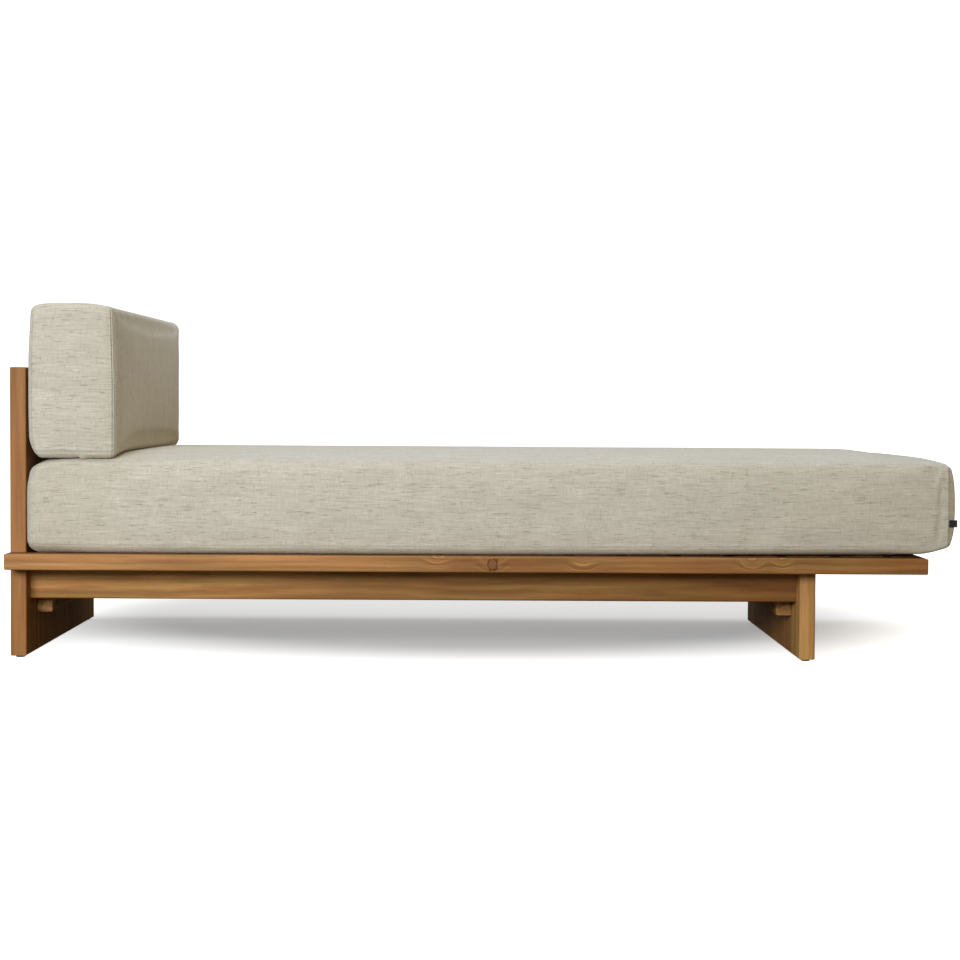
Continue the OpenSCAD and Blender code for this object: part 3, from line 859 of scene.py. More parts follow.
def swaying(points: np.ndarray, seed: int, waves: int, longest: float,
            shortest: float) -> np.ndarray:
    """A soft random field: the mean of sine waves of seeded directions, phases and lengths.

    Args:
        points: Points, one row each, in metres.
        seed: Number that the draws start from.
        waves: How many waves there are.
        longest: Greatest wavelength, in metres.
        shortest: Least wavelength.

    Returns:
        A value about 0 for each point.
    """
    dice = np.random.default_rng(seed)
    way = dice.normal(size=(waves, 3))
    way /= np.linalg.norm(way, axis=1)[:, None]
    length = dice.uniform(shortest, longest, waves)
    phase = dice.uniform(0.0, 2.0 * math.pi, waves)
    return np.sin(points @ (way * (2.0 * math.pi / length)[:, None]).T + phase).mean(axis=1)


@dataclass(frozen=True)
class Pocket:
    """The shallow opening for a zip in the side that faces the head panel.

    Attributes:
        length: Its length across the pad, in metres.
        height: Its height.
        depth: Its depth.
        lip: Width of its rounded lip.
    """

    length: float = 0.640
    height: float = 0.012
    depth: float = 0.0056
    lip: float = 0.0012

    def lines(self, size: float) -> list[float]:
        """Grid lines for both edges of an opening of the given size.

        Args:
            size: The opening's length or height, in metres.

        Returns:
            The lines' places, from the opening's middle.
        """
        half = size / 2.0
        steps = (half - self.lip, half, half + self.lip, half + 3.0 * self.lip)
        return [-step for step in steps] + [0.0] + list(steps)

    def sunk(self, y: np.ndarray, z: np.ndarray) -> np.ndarray:
        """How deep each point of the side lies, from its place across and up from the middle."""
        away = np.maximum(np.abs(y) - self.length / 2.0, np.abs(z) - self.height / 2.0)
        return self.depth * (1.0 - smooth(away, -0.5 * self.lip, 0.5 * self.lip))


DEEP_SEAM = 0.0012
# Depth from which the painted shade in a seam's groove is as dark as any, in metres.
"""Depth from which a seam is as dark as any, in metres."""


@dataclass(frozen=True)
class Seam:
    """One seam of a pad.

    Attributes:
        distance: Distance of each point from it, measured along the cloth, in metres.
        depth: Depth of its groove.
        ridge: Height of the ridge beside it.
        wide: Width of groove and ridge.
    """

    distance: np.ndarray
    depth: float | np.ndarray
    ridge: float | np.ndarray
    wide: float = 0.0026

    def relief(self) -> tuple[np.ndarray, np.ndarray]:
        """Move along the normal, and the painted shade in the groove, at each point.

        At the distance s the move is
        ridge * exp(-((s - 1.7 * wide) / wide)^2) - depth * exp(-(s / wide)^2).

        Returns:
            The moves in metres, and the painted shade from 0 to 1.
        """
        groove = np.exp(-(self.distance / self.wide) ** 2)
        crest = np.exp(-((self.distance - 1.7 * self.wide) / self.wide) ** 2)
        # Painted shade in the groove, as dark as the groove is deep.
        dark = groove * np.clip(self.depth / DEEP_SEAM, 0.0, 1.0)
        return self.ridge * crest - self.depth * groove, dark


CLOTH = {
    "quality": 5, "mass": 0.3, "tension_stiffness": 40.0, "compression_stiffness": 40.0,
    "shear_stiffness": 20.0, "bending_stiffness": 5.0, "use_pressure": True, "shrink_min": -0.004}
"""Settings of the simulation, which blows a cover, cut a little large, up between its seams."""

HELD = ((-1.0, 0.005, 0.9), (0.005, 0.012, 0.5))
"""From which to which distance from a seam the cloth is held, in metres, and how firmly."""

FRAMES = 20
"""Frames of the simulation."""


@dataclass
class Pad:
    """A foam pad in a sewn cover, built as a rounded box that is shaped, swollen, then seamed.

    Attributes:
        name: The piece's name.
        half: Half the pad's sizes along X, Y and Z, in metres.
        place: Where the cut box's centre lies in the row frame.
        fine: Grid step at the edges.
        coarse: Largest grid step.
        pressure: Pressure of the cloth simulation.
        cap: The most that the simulation may move a point.
        seed: Number of the soft unevenness.
        pocket: The zip's opening.
    """

    name: str
    half: Triple
    place: Triple
    fine: float = 0.003
    coarse: float = 0.020
    pressure: float = 1.5
    cap: float = 0.004
    seed: int = 5
    pocket: Pocket = Pocket()

    def lattice(self) -> Lattice:
        """The pad's grid before shaping, with lines along the zip's opening.

        Returns:
            The grid.
        """
        xs, ys, zs = (graded(2.0 * h, 0.03, self.fine, self.coarse) for h in self.half)
        zip_ends = [y for y in self.pocket.lines(self.pocket.length) if y]
        zip_edges = self.pocket.lines(self.pocket.height)
        ys, zs = with_marks(ys, zip_ends, 0.002), with_marks(zs, zip_edges, self.pocket.lip)
        return Lattice.of(xs, ys, zs)

    def shape(self, cut: np.ndarray) -> np.ndarray:
        """Places of the cut box's points in the row frame, before the cloth swells."""
        raise NotImplementedError

    def threads(self) -> dict[Side, np.ndarray]:
        """For each side the 2 x 4 matrix that lays its points, given as x, y, z and 1, flat."""
        raise NotImplementedError

    def seams(self, cut: np.ndarray) -> list[Seam]:
        """The pad's seams, with the distance of each point of the cut box."""
        raise NotImplementedError

    def give(self, cut: np.ndarray) -> np.ndarray:
        """How freely each point may swell, from 0 where the pad rests to 1."""
        raise NotImplementedError

    def build(self, cloth: bpy.types.Material) -> bpy.types.Object:
        """Makes the pad.

        Args:
            cloth: The cover's material.

        Returns:
            The finished object, in its place in the row frame.
        """
        lattice = self.lattice()
        points = self.shape(lattice.cut)
        thing = new_mesh(self.name, points, lattice.faces)
        mesh = thing.data
        flat = np.empty((len(lattice.faces), 4, 2))
        for side, matrix in self.threads().items():
            own = lattice.side == side.value
            corner = lattice.cut[lattice.faces[own]]
            flat[own] = corner @ matrix[:, :3].T + matrix[:, 3]
        mesh.uv_layers.new(name="cut").data.foreach_set("uv", flat.astype(np.float32).ravel())
        cut_at = mesh.attributes.new("cut_at", "FLOAT_VECTOR", "POINT")
        cut_at.data.foreach_set("vector", lattice.cut.astype(np.float32).ravel())
        points = self._swell(thing, lattice.cut, points)
        write_points(mesh, points + self._opening(lattice.cut))
        finer = thing.modifiers.new("finer", "SUBSURF")
        finer.levels = finer.render_levels = 1
        finer.uv_smooth = "NONE"
        apply_modifiers(thing)
        self._sew(thing)
        thing.data.materials.append(cloth)
        log.info("%s: %d faces", self.name, len(thing.data.polygons))
        return thing

    def _opening(self, cut: np.ndarray) -> np.ndarray:
        """The move of each point that sinks the zip's opening into the head side.

        Args:
            cut: Points of the cut box, one row each.

        Returns:
            The moves, one row each.
        """
        head = cut[:, 0] < SLACK - self.half[0]
        move = np.zeros_like(cut)
        move[:, 0] = np.where(head, self.pocket.sunk(cut[:, 1], cut[:, 2]), 0.0)
        return move

    def _swell(self, thing: bpy.types.Object, cut: np.ndarray, points: np.ndarray) -> np.ndarray:
        """Runs the cover as cloth under pressure, held at its seams.

        The result is the first shape plus the simulated move, whose length is carried softly
        towards cap by cap * (1 - exp(-length / cap)) and scaled by give.

        Args:
            thing: The pad's object.
            cut: Points of the cut box, one row each.
            points: Their places in the row frame, before the cloth swells.

        Returns:
            Their places after it.
        """
        scene = bpy.context.scene
        nearest = np.minimum.reduce([seam.distance for seam in self.seams(cut)])
        trial = thing.copy()
        trial.data = thing.data.copy()
        scene.collection.objects.link(trial)
        held = trial.vertex_groups.new(name="held")
        for low, high, weight in HELD:
            near = np.flatnonzero((nearest >= low) & (nearest < high))
            held.add(near.tolist(), weight, "REPLACE")
        cloth = trial.modifiers.new("cloth", "CLOTH")
        for key, value in CLOTH.items():
            setattr(cloth.settings, key, value)
        cloth.settings.uniform_pressure_force = self.pressure
        cloth.settings.vertex_group_mass = held.name
        cloth.settings.effector_weights.gravity = 0.0
        cloth.collision_settings.use_collision = False
        cloth.point_cache.frame_start, cloth.point_cache.frame_end = 1, FRAMES
        for count in range(1, FRAMES + 1):
            scene.frame_set(count)
        seen = trial.evaluated_get(bpy.context.evaluated_depsgraph_get()).to_mesh()
        move = read_rows(seen.vertices, "co") - points
        scene.frame_set(1)
        bpy.data.objects.remove(trial)
        length = np.linalg.norm(move, axis=1)
        log.info("%s: cloth moved %s mm", self.name,
                 np.percentile(length, (50, 90, 99, 100)).round(4) * 1000)
        kept = self.cap * (1.0 - np.exp(-length / self.cap)) / np.maximum(length, 1e-9)
        return points + move * (kept * self.give(cut))[:, None]

    def _sew(self, thing: bpy.types.Object) -> None:
        """Sinks the seams, adds pleats and unevenness, and marks the seams' painted shade and the
        pad's painted shading for the cloth.

        Args:
            thing: The pad's object, whose mesh knows each point's place on the cut box as cut_at.
        """
        mesh = thing.data
        points = read_rows(mesh.vertices, "co")
        normals = read_rows(mesh.vertex_normals, "vector")
        cut = read_rows(mesh.attributes["cut_at"].data, "vector")
        reliefs, marks = zip(*(seam.relief() for seam in self.seams(cut)))
        uneven = (0.0006 * swaying(points, self.seed, 20, 0.40, 0.12)
                  + 0.00025 * swaying(points, self.seed + 1, 24, 0.09, 0.03))
        rise = sum(reliefs) + self.pleats(cut) + self.give(cut) * uneven
        write_points(mesh, points + normals * rise[:, None])
        # The seam mark is painted shade in each seam's groove.
        mark_points(mesh, "seam", np.maximum.reduce(marks))
        mark_points(mesh, "painted_shading", self.painted_shading(cut))
        mesh.attributes.remove(mesh.attributes["cut_at"])

    def pleats(self, cut: np.ndarray) -> np.ndarray:
        """Move along the normal by the pad's single pleats; none unless a pad says so."""
        return np.zeros(len(cut))

    def painted_shading(self, cut: np.ndarray) -> np.ndarray:
        """Painted shading of the cloth, from painted light at -1 to painted shade at 1; none
        unless said.
        """
        return np.zeros(len(cut))


def apply_modifiers(thing: bpy.types.Object) -> None:
    """Puts the result of an object's modifiers into its mesh.

    Args:
        thing: The object.
    """
    graph = bpy.context.evaluated_depsgraph_get()
    made = bpy.data.meshes.new_from_object(
        thing.evaluated_get(graph), preserve_all_data_layers=True, depsgraph=graph)
    old = thing.data
    thing.modifiers.clear()
    thing.data = made
    made.name = thing.name
    bpy.data.meshes.remove(old)


class Rest:
    """How the back cushion lies on the mattress, in the row frame.

    Attributes:
        TURN: The cushion's turn, in radians.
        SLOPE: Change of its front's place along X per metre across.
        FRONT: That place at mid-width, in metres.
        DEPTH: Height of the pressed mattress above its edges.
        CROWN: Height of the crown that presses into the cushion.
    """

    TURN = math.radians(1.2)
    SLOPE = math.sin(TURN)
    FRONT = -0.7917
    DEPTH = 0.0142
    CROWN = 0.0225

    @classmethod
    def before(cls, x: np.ndarray, y: np.ndarray) -> np.ndarray:
        """How far a place in the row frame lies before the cushion's front."""
        return x - cls.FRONT - cls.SLOPE * y

    @classmethod
    def pressed(cls, height: np.ndarray) -> np.ndarray:
        """A crown's height where the cushion presses it down."""
        return smaller(height, cls.DEPTH, 0.002)


def arch(y: np.ndarray) -> np.ndarray:
    """Share of the mattress's crown at a place across it: cos(pi / 2 * |y / 0.42|^1.4)."""
    return np.cos(math.pi / 2 * np.minimum(1.0, np.abs(y) / 0.42) ** 1.4)


def pinch(across: np.ndarray, along: np.ndarray, wide: float, tall: float,
          lift: float) -> np.ndarray:
    """A fold: lift * 1.6 * (q + 0.4) * exp(-q^2) * exp(-(along / tall)^2), q = across / wide."""
    q = across / wide
    return lift * 1.6 * (q + 0.4) * np.exp(-q * q) * np.exp(-(along / tall) ** 2)


Ends = tuple[float, float, float]
"""A radius at the head end, along the middle and at the foot end, in metres."""


@dataclass
class Mattress(Pad):
    """The box mattress: crowned along its middle, swollen sides, and a foot end that curls up.

    Attributes:
        corner: Radii of the upright corners.
        top_edge: Radii of the upper edges.
        low_edge: Radii of the lower edges.
        crown: Rise of the middle above the edges.
        end_crown: Share of the crown that is left at the foot edge.
        swell: Swell of the sides between their seams.
        foot_swell: Swell of the foot end.
        draw: How far the long sides are drawn in at mid-length.
        curl: Lift of the underside's rim before the foot end.
        rim: Width of that rim over the platform, and how much wider it is beyond.
        toe: Further lift of the underside's last stretch.
        toe_reach: Length of that stretch.
        droop: Drop of the top's edge at the head end.
        droop_reach: Length over which it drops.
        lean: How far the head end's upper part leans in.
        dip: Drop of the near top corner at the foot end.
        top_seam: Distance of the top seam from the box's edge, on the top panel.
        low_seam: Distance of the low seam from the box's edge, on the side panels.
        low_seam_end: The same at the foot end.
        foot_seam: Distance of the upright foot seams from the box's corners, on the side panels.
        head_seam: Distance of the upright head seams from them, on the head panel.
    """

    name: str = "mattress"
    half: Triple = (1.008, 0.420, 0.1015)
    place: Triple = (0.0118, 0.0, 0.3348)
    coarse: float = 0.020
    corner: Ends = (0.034, 0.034, 0.008)
    top_edge: Ends = (0.013, 0.022, 0.0075)
    low_edge: Ends = (0.028, 0.017, 0.0075)
    crown: float = 0.0190
    end_crown: float = 0.44
    swell: float = 0.005
    foot_swell: float = 0.009
    draw: float = 0.003
    curl: float = 0.0070
    rim: tuple[float, float] = (0.055, 0.075)
    toe: float = 0.0165
    toe_reach: float = 0.068
    droop: float = 0.018
    droop_reach: float = 0.12
    lean: float = 0.008
    dip: float = 0.004
    top_seam: float = 0.010
    low_seam: float = 0.017
    low_seam_end: float = 0.003
    foot_seam: float = 0.003
    head_seam: float = 0.004

    def radius(self, x: np.ndarray, ends: Ends) -> np.ndarray:
        """A radius at each place, which changes between 160 and 50 mm from either end.

        Args:
            x: Places along the mattress, from its middle.
            ends: The radius at the head end, along the middle and at the foot end.

        Returns:
            The radius at each place.
        """
        head, middle, foot = ends
        hx = self.half[0]
        return (middle + (head - middle) * smooth(-x, hx - 0.16, hx - 0.05)
                + (foot - middle) * smooth(x, hx - 0.16, hx - 0.05))

    def shape(self, cut: np.ndarray) -> np.ndarray:
        """Rounds the box, then crowns, swells, draws and curls it.

        With belly = 1 - |z / hz|^3, the sides swell by swell * belly less draw times a sine arch
        over the length, and the foot panel swells by foot_swell * belly from its upright seams
        on. The top rises by crown_at(x, y), less droop * t^2 over droop_reach and the dip of one
        corner. The head end's upper part leans in by lean * t^1.5. The rim of the underside
        lifts by curl * ((x + 0.12) / 1.05)^1.5 from mid-length on, and the whole foot end by
        toe * t^1.5 over toe_reach. Every t runs from 0 to 1.

        Args:
            cut: Points of the cut box, one row each.

        Returns:
            Their places in the row frame.
        """
        hx, hy, hz = self.half
        p = rounded(cut, self.half, *(self.radius(cut[:, 0], ends)
                                      for ends in (self.corner, self.top_edge, self.low_edge)))
        x, y, z = p.T.copy()
        side = np.minimum(1.0, np.abs(y / hy))
        belly = bulge(z / hz)
        push = self.swell * belly - self.draw * np.sin(math.pi * (x + hx) / (2 * hx))
        p[:, 1] += np.sign(y) * side ** 6 * push
        past = ramp(cut[:, 0], hx - self.foot_seam, self.foot_seam)
        p[:, 0] += np.sqrt(past) * self.foot_swell * belly
        p[:, 0] += self.lean * smooth(-x, hx - 0.05, hx) * ramp(z / hz, 0.4, 0.6) ** 1.5

        droop = self.droop * ramp(-x, hx - self.droop_reach, self.droop_reach) ** 2
        droop *= 0.4 + 0.6 * side ** 2
        dip = self.dip * smooth(x, hx - 0.05, hx - 0.005) * smooth(-y, 0.90 * hy, hy)
        upper = ramp(z, -0.3 * hz, 1.1 * hz) ** 2
        p[:, 2] += upper * (self.crown_at(x, y) - droop - dip)

        over, beyond = self.rim
        rim = over + beyond * smooth(x, hx - 0.13, hx - 0.07)
        lift = self.curl * ramp(x, -0.12, 1.05) ** 1.5
        lift *= smooth(np.abs(y) - hy + rim, 0.0, 0.75 * rim)
        lift += self.toe * ramp(x, hx - self.toe_reach, self.toe_reach) ** 1.5
        p[:, 2] += ramp(-z, 0.0, hz) * lift
        return p + np.asarray(self.place)

    def crown_at(self, x: np.ndarray, y: np.ndarray) -> np.ndarray:
        """Height of the top above its edges, pressed down under the back cushion.

        It is crown * arch(y) times a sine ramp over 60 mm at the head end. Before the foot end
        it falls to end_crown + 0.06 over a short shoulder and then on to end_crown. Behind the
        cushion's front it is at most Rest.DEPTH.

        Args:
            x: Places along the mattress, from its middle.
            y: Places across it.

        Returns:
            The height at each place.
        """
        hx = self.half[0]
        share = self.end_crown + 0.06 * ramp(-x, -hx, 0.11)
        share += (0.94 - self.end_crown) * smooth(hx - x, 0.07, 0.15)
        share *= np.sin(ramp(x, -hx, 0.060) * math.pi / 2)
        free = self.crown * arch(y) * share
        under = smooth(Rest.before(x + self.place[0], y), 0.06, -0.01)
        return free + (Rest.pressed(free) - free) * under

    def threads(self) -> dict[Side, np.ndarray]:
        """Slubs run along the lounger, and across it on the two end panels.

        Returns:
            The matrix of each side.
        """
        _, hy, hz = self.half
        return {
            Side.TOP: np.array([[1, 0, 0, 0], [0, 1, 0, hy + hz]], float),
            Side.LOW: np.array([[1, 0, 0, 5.3], [0, 1, 0, 4.1]], float),
            Side.FOOT: np.array([[0, 1, 0, 9.7], [0, 0, 1, 0.31]], float),
            Side.HEAD: np.array([[0, 1, 0, 7.9], [0, 0, 1, 0.83]], float),
            Side.FAR: np.array([[1, 0, 0, 2.9], [0, 0, 1, 1.37]], float),
            Side.NEAR: np.array([[1, 0, 0, 0], [0, 0, 1, 0]], float)}

    def _low_seam(self, x: np.ndarray) -> np.ndarray:
        """Height of the low seam over the underside's edge, which is lower at the foot end."""
        fall = smooth(x, self.half[0] - 0.075, self.half[0] - 0.010)
        return self.low_seam - (self.low_seam - self.low_seam_end) * fall

    def seams(self, cut: np.ndarray) -> list[Seam]:
        """The loop on the top, the loop low on the sides and the four upright corners.

        Args:
            cut: Points of the cut box, one row each.

        Returns:
            The seams.
        """
        hx, hy, hz = self.half
        x, y, z = cut.T
        rim = np.minimum(hx - np.abs(x), hy - np.abs(y))
        top = np.where(z > hz - SLACK, np.abs(rim - self.top_seam), self.top_seam + hz - z)
        rise = self._low_seam(x)
        low = np.where(z < SLACK - hz, rise + rim, np.abs(z + hz - rise))
        between = (z > rise - hz) & (rim < SLACK)
        side = between & (np.abs(y) > hy - SLACK) & (z < hz - SLACK)
        foot = np.where(side, np.abs(hx - x - self.foot_seam), 1.0)
        back = between & (x < SLACK - hx)
        head = np.where(back, np.abs(hy - np.abs(y) - self.head_seam), 1.0)
        crisp = smooth(x, 0.6 * hx, 0.95 * hx)
        return [Seam(top, 0.0004 + 0.0006 * crisp, 0.0002 + 0.0002 * crisp),
                Seam(low, 0.0007 - 0.0004 * crisp, 0.0001, 0.0020),
                Seam(foot, 0.0016, 0.0005, 0.0022), Seam(head, 0.0006, 0.0003)]

    def give(self, cut: np.ndarray) -> np.ndarray:
        """Nothing swells underneath, towards the head panel or under the back cushion.

        Args:
            cut: Points of the cut box, one row each.

        Returns:
            A share for each point.
        """
        hx, _, hz = self.half
        x, y, z = cut.T
        under = smooth(Rest.before(x + self.place[0], y), 0.03, -0.01)
        pressed = smooth(z, 0.3 * hz, 0.9 * hz) * under
        return smooth(z, 0.002 - hz, 0.05 - hz) * smooth(x, -hx, 0.05 - hx) * (1.0 - pressed)

    def pleats(self, cut: np.ndarray) -> np.ndarray:
        """The two small folds in the near side's low seam, near each end.

        Args:
            cut: Points of the cut box, one row each.

        Returns:
            The move of each point.
        """
        hx, hy, hz = self.half
        x, y, z = cut.T
        near = (y < SLACK - hy) & (z < hz - 0.01)
        rise = z + hz - self.low_seam
        first = pinch(x + 0.815 + 0.3 * rise, rise, 0.005, 0.010, 0.0026)
        second = pinch(x - 0.810 - 0.2 * rise, rise, 0.005, 0.013, 0.0024)
        return np.where(near, first + second, 0.0)

    def painted_shading(self, cut: np.ndarray) -> np.ndarray:
        """Painted shade: the strip under the low seam and the foot end, most at its corners, are
        darker and yellower.

        The long sides are darker towards the foot end, as painted shade, and all is a little
        darker and yellower at the head end.

        Args:
            cut: Points of the cut box, one row each.

        Returns:
            The painted shading of each point.
        """
        hx, hy, hz = self.half
        x, y, z = cut.T
        # Painted shade under the low seam, on the foot end and along the long sides towards the
        # foot; the head end is a little darker and yellower too.
        strip = smooth(self._low_seam(x) - hz - z, -0.0005, 0.0025)
        end = smooth(x, hx - self.foot_seam - 0.0015, hx - self.foot_seam + 0.0015)
        corner = smooth(hy - np.abs(y), 0.032, 0.008)
        side = smooth(np.abs(y), hy - 0.008, hy) * smooth(x, 0.1 * hx, hx)
        side = np.maximum(0.45 * side, 0.3 * smooth(-x, 0.7 * hx, hx))
        return np.maximum(0.85 * strip + side, end * (0.4 + 1.7 * corner))


@dataclass
class BackCushion(Pad):
    """The loose box cushion in front of the head panel, with a square end panel at each side.

    Attributes:
        corner: Radius of the upright corners in front and behind, and how much larger it is at
            the far end.
        top_edge: Radius of the upper edges, and how much larger it is at the far end.
        low_edge: Radius of the lower edges, and how much larger it is at the far end in front.
        swell: Swell of the front between its seams.
        back_swell: Swell of the back towards the head panel, low down.
        end_swell: Swell of the two end panels.
        crown: Rise of the middle of the top above its long edges.
        lean: How far the front's upper edge stands back at the near end.
        full: How far the front stands out at the far end at mid-height, and how much further at
            its edges.
        nape: How far the back's upper part stands in at the near end.
        tuck: How far the underside is drawn up at the far end.
        heel: How far the back's lower edge stands in.
        loop: Distance of the end panels' seam from the back, front, lower and upper edge.
    """

    name: str = "back_cushion"
    half: Triple = (0.094, 0.413, 0.1647)
    place: Triple = (Rest.FRONT - 0.094, 0.0, 0.6018)
    coarse: float = 0.014
    seed: int = 8
    corner: Triple = (0.018, 0.016, 0.006)
    top_edge: tuple[float, float] = (0.011, 0.008)
    low_edge: tuple[float, float] = (0.014, 0.013)
    swell: float = 0.006
    back_swell: float = 0.004
    end_swell: float = 0.006
    crown: float = 0.0105
    lean: float = 0.004
    full: tuple[float, float] = (0.0016, 0.0020)
    nape: float = 0.0022
    tuck: float = 0.007
    heel: float = 0.018
    loop: tuple[float, float, float, float] = (0.006, 0.003, 0.015, 0.001)

    def shape(self, cut: np.ndarray) -> np.ndarray:
        """Rounds the box, crowns its top, swells its front and ends, and fits its underside.

        The top rises by crown * (1 - |x / hx|^e), where e goes from 2.5 in front to 4.5 behind,
        more at the near end. With belly = 1 - |z / hz|^3, the front swells by swell * belly, less
        towards its ends, the back by back_swell * belly, and the ends by
        end_swell * belly * (1 - |x / hx|^3). The front leans back by lean * z / hz, and the back's
        last 50 mm stand in by heel * t^2. The underside rises as the pressed mattress does.
        Last, the cushion is turned by Rest.TURN.

        Args:
            cut: Points of the cut box, one row each.

        Returns:
            Their places in the row frame.
        """
        hx, hy, hz = self.half
        behind = smooth(-cut[:, 0], -0.03, 0.03)
        far = smooth(cut[:, 1], 0.20, 0.36)
        in_front, at_back, more = self.corner
        p = rounded(
            cut, self.half, in_front + (at_back - in_front) * behind + more * far,
            self.top_edge[0] + self.top_edge[1] * far,
            self.low_edge[0] + self.low_edge[1] * far * (1.0 - behind))
        x, y, z = p.T.copy()
        belly = bulge(z / hz)
        near = 0.5 - 0.5 * y / hy
        front, back = ramp(x, 0.0, hx), ramp(-x, 0.0, hx)
        ends = 1.0 - (0.85 - 0.4 * far) * (y / hy) ** 2
        p[:, 0] += front ** 4 * self.swell * belly * ends
        p[:, 0] -= front * self.lean * ramp(z, 0.0, hz) * near
        p[:, 0] += front * far * (self.full[0] + self.full[1] * (z / hz) ** 2)
        p[:, 0] -= back ** 4 * self.back_swell * belly
        nape = self.nape * smooth(z, 0.3 * hz, 0.8 * hz) * near
        p[:, 0] += back ** 2 * (nape + self.heel * ramp(-z, hz - 0.05, 0.05) ** 2)
        side = np.minimum(1.0, np.abs(y) / hy)
        p[:, 1] += np.sign(y) * side ** 14 * self.end_swell * belly * bulge(x / hx)

        upper = ramp(z, -hz, 2.0 * hz)
        crown = self.crown * (1.0 - np.abs(x / hx) ** (2.5 + 2.0 * behind))
        under = np.maximum(Rest.pressed(Rest.CROWN * arch(y)), self.tuck * far)
        p[:, 2] += upper ** 3 * crown * (0.69 - 0.32 * y / hy) + (1.0 - upper) ** 3 * under
        c, s = math.cos(Rest.TURN), math.sin(Rest.TURN)
        p[:, :2] = p[:, :2] @ np.array([[c, -s], [s, c]])
        return p + np.asarray(self.place)

    def threads(self) -> dict[Side, np.ndarray]:
        """Slubs run round the girth on the long band and from front to back on the end panels.

        Returns:
            The matrix of each side.
        """
        hx, _, hz = self.half
        return {
            Side.FOOT: np.array([[0, 0, 1, 0], [0, 1, 0, 0]], float),
            Side.TOP: np.array([[-1, 0, 0, hz + hx], [0, 1, 0, 0]], float),
            Side.HEAD: np.array([[0, 0, -1, 2 * (hz + hx)], [0, 1, 0, 0]], float),
            Side.LOW: np.array([[1, 0, 0, 4.9], [0, 1, 0, 0]], float),
            Side.FAR: np.array([[1, 0, 0, 2.9], [0, 0, 1, 6.37]], float),
            Side.NEAR: np.array([[1, 0, 0, 8.3], [0, 0, 1, 3.19]], float)}

    def seams(self, cut: np.ndarray) -> list[Seam]:
        """The loop of each end panel: a soft line behind and below, a raised edge in front.

        Args:
            cut: Points of the cut box, one row each.

        Returns:
            The seams.
        """
        hx, hy, hz = self.half
        x, y, z = cut.T
        beyond = hy - np.abs(y)
        edges = (x + hx, hx - x, z + hz, hz - z)
        looks = ((0.0011, 0.0003), (0.0009, 0.0014, 0.0022), (0.0010, 0.0006, 0.003),
                 (0.0003, 0.0001))
        return [
            Seam(np.where(beyond < SLACK, np.abs(edge - inset),
                          inset + beyond + np.maximum(0.0, edge)), *look)
            for edge, inset, look in zip(edges, self.loop, looks)]

    def give(self, cut: np.ndarray) -> np.ndarray:
        """Nothing swells underneath or towards the head panel, and little at the edges.

        Args:
            cut: Points of the cut box, one row each.

        Returns:
            A share for each point.
        """
        hx, hy, hz = self.half
        x, y, z = cut.T
        free = smooth(z, 0.002 - hz, 0.05 - hz) * smooth(x, -hx, 0.06 - hx)
        free *= 1.0 - 0.8 * smooth(z, hz - 0.05, hz)
        return free * (1.0 - 0.6 * smooth(np.abs(y), hy - 0.05, hy))

    def pleats(self, cut: np.ndarray) -> np.ndarray:
        """The small fold under each end panel's lower seam.

        Args:
            cut: Points of the cut box, one row each.

        Returns:
            The move of each point.
        """
        hx, hy, hz = self.half
        x, y, z = cut.T
        end = np.abs(y) > hy - 0.03
        drop = z + hz - 0.002
        return np.where(end, pinch(x - 0.018 + 0.3 * drop, drop, 0.008, 0.011, 0.0055), 0.0)

    def painted_shading(self, cut: np.ndarray) -> np.ndarray:
        """Painted light and shade on the front: lighter high up and at the far end, darker low at
        the near end.

        The strip under the end panels' lower seam, where it curves under, is darker and yellower
        as painted shade.

        Args:
            cut: Points of the cut box, one row each.

        Returns:
            The painted shading of each point.
        """
        hx, hy, hz = self.half
        x, y, z = cut.T
        front = smooth(x, hx - 0.012, hx - 0.002) * smooth(hy - np.abs(y), 0.0, 0.012)
        strip = smooth(self.loop[2] - hz - z, -0.001, 0.003) * smooth(np.abs(y), hy - 0.008, hy)
        # Painted light on the front high up and at the far end, and painted shade low at the near
        # end.
        painted_light = 0.15 + np.clip(z / hz, -1.0, 1.0) * (1.25 + 0.75 * y / hy)
        painted_light += 0.6 * smooth(y, 0.0, hy) * (1.0 + z / hz)
        return 0.8 * strip - front * painted_light


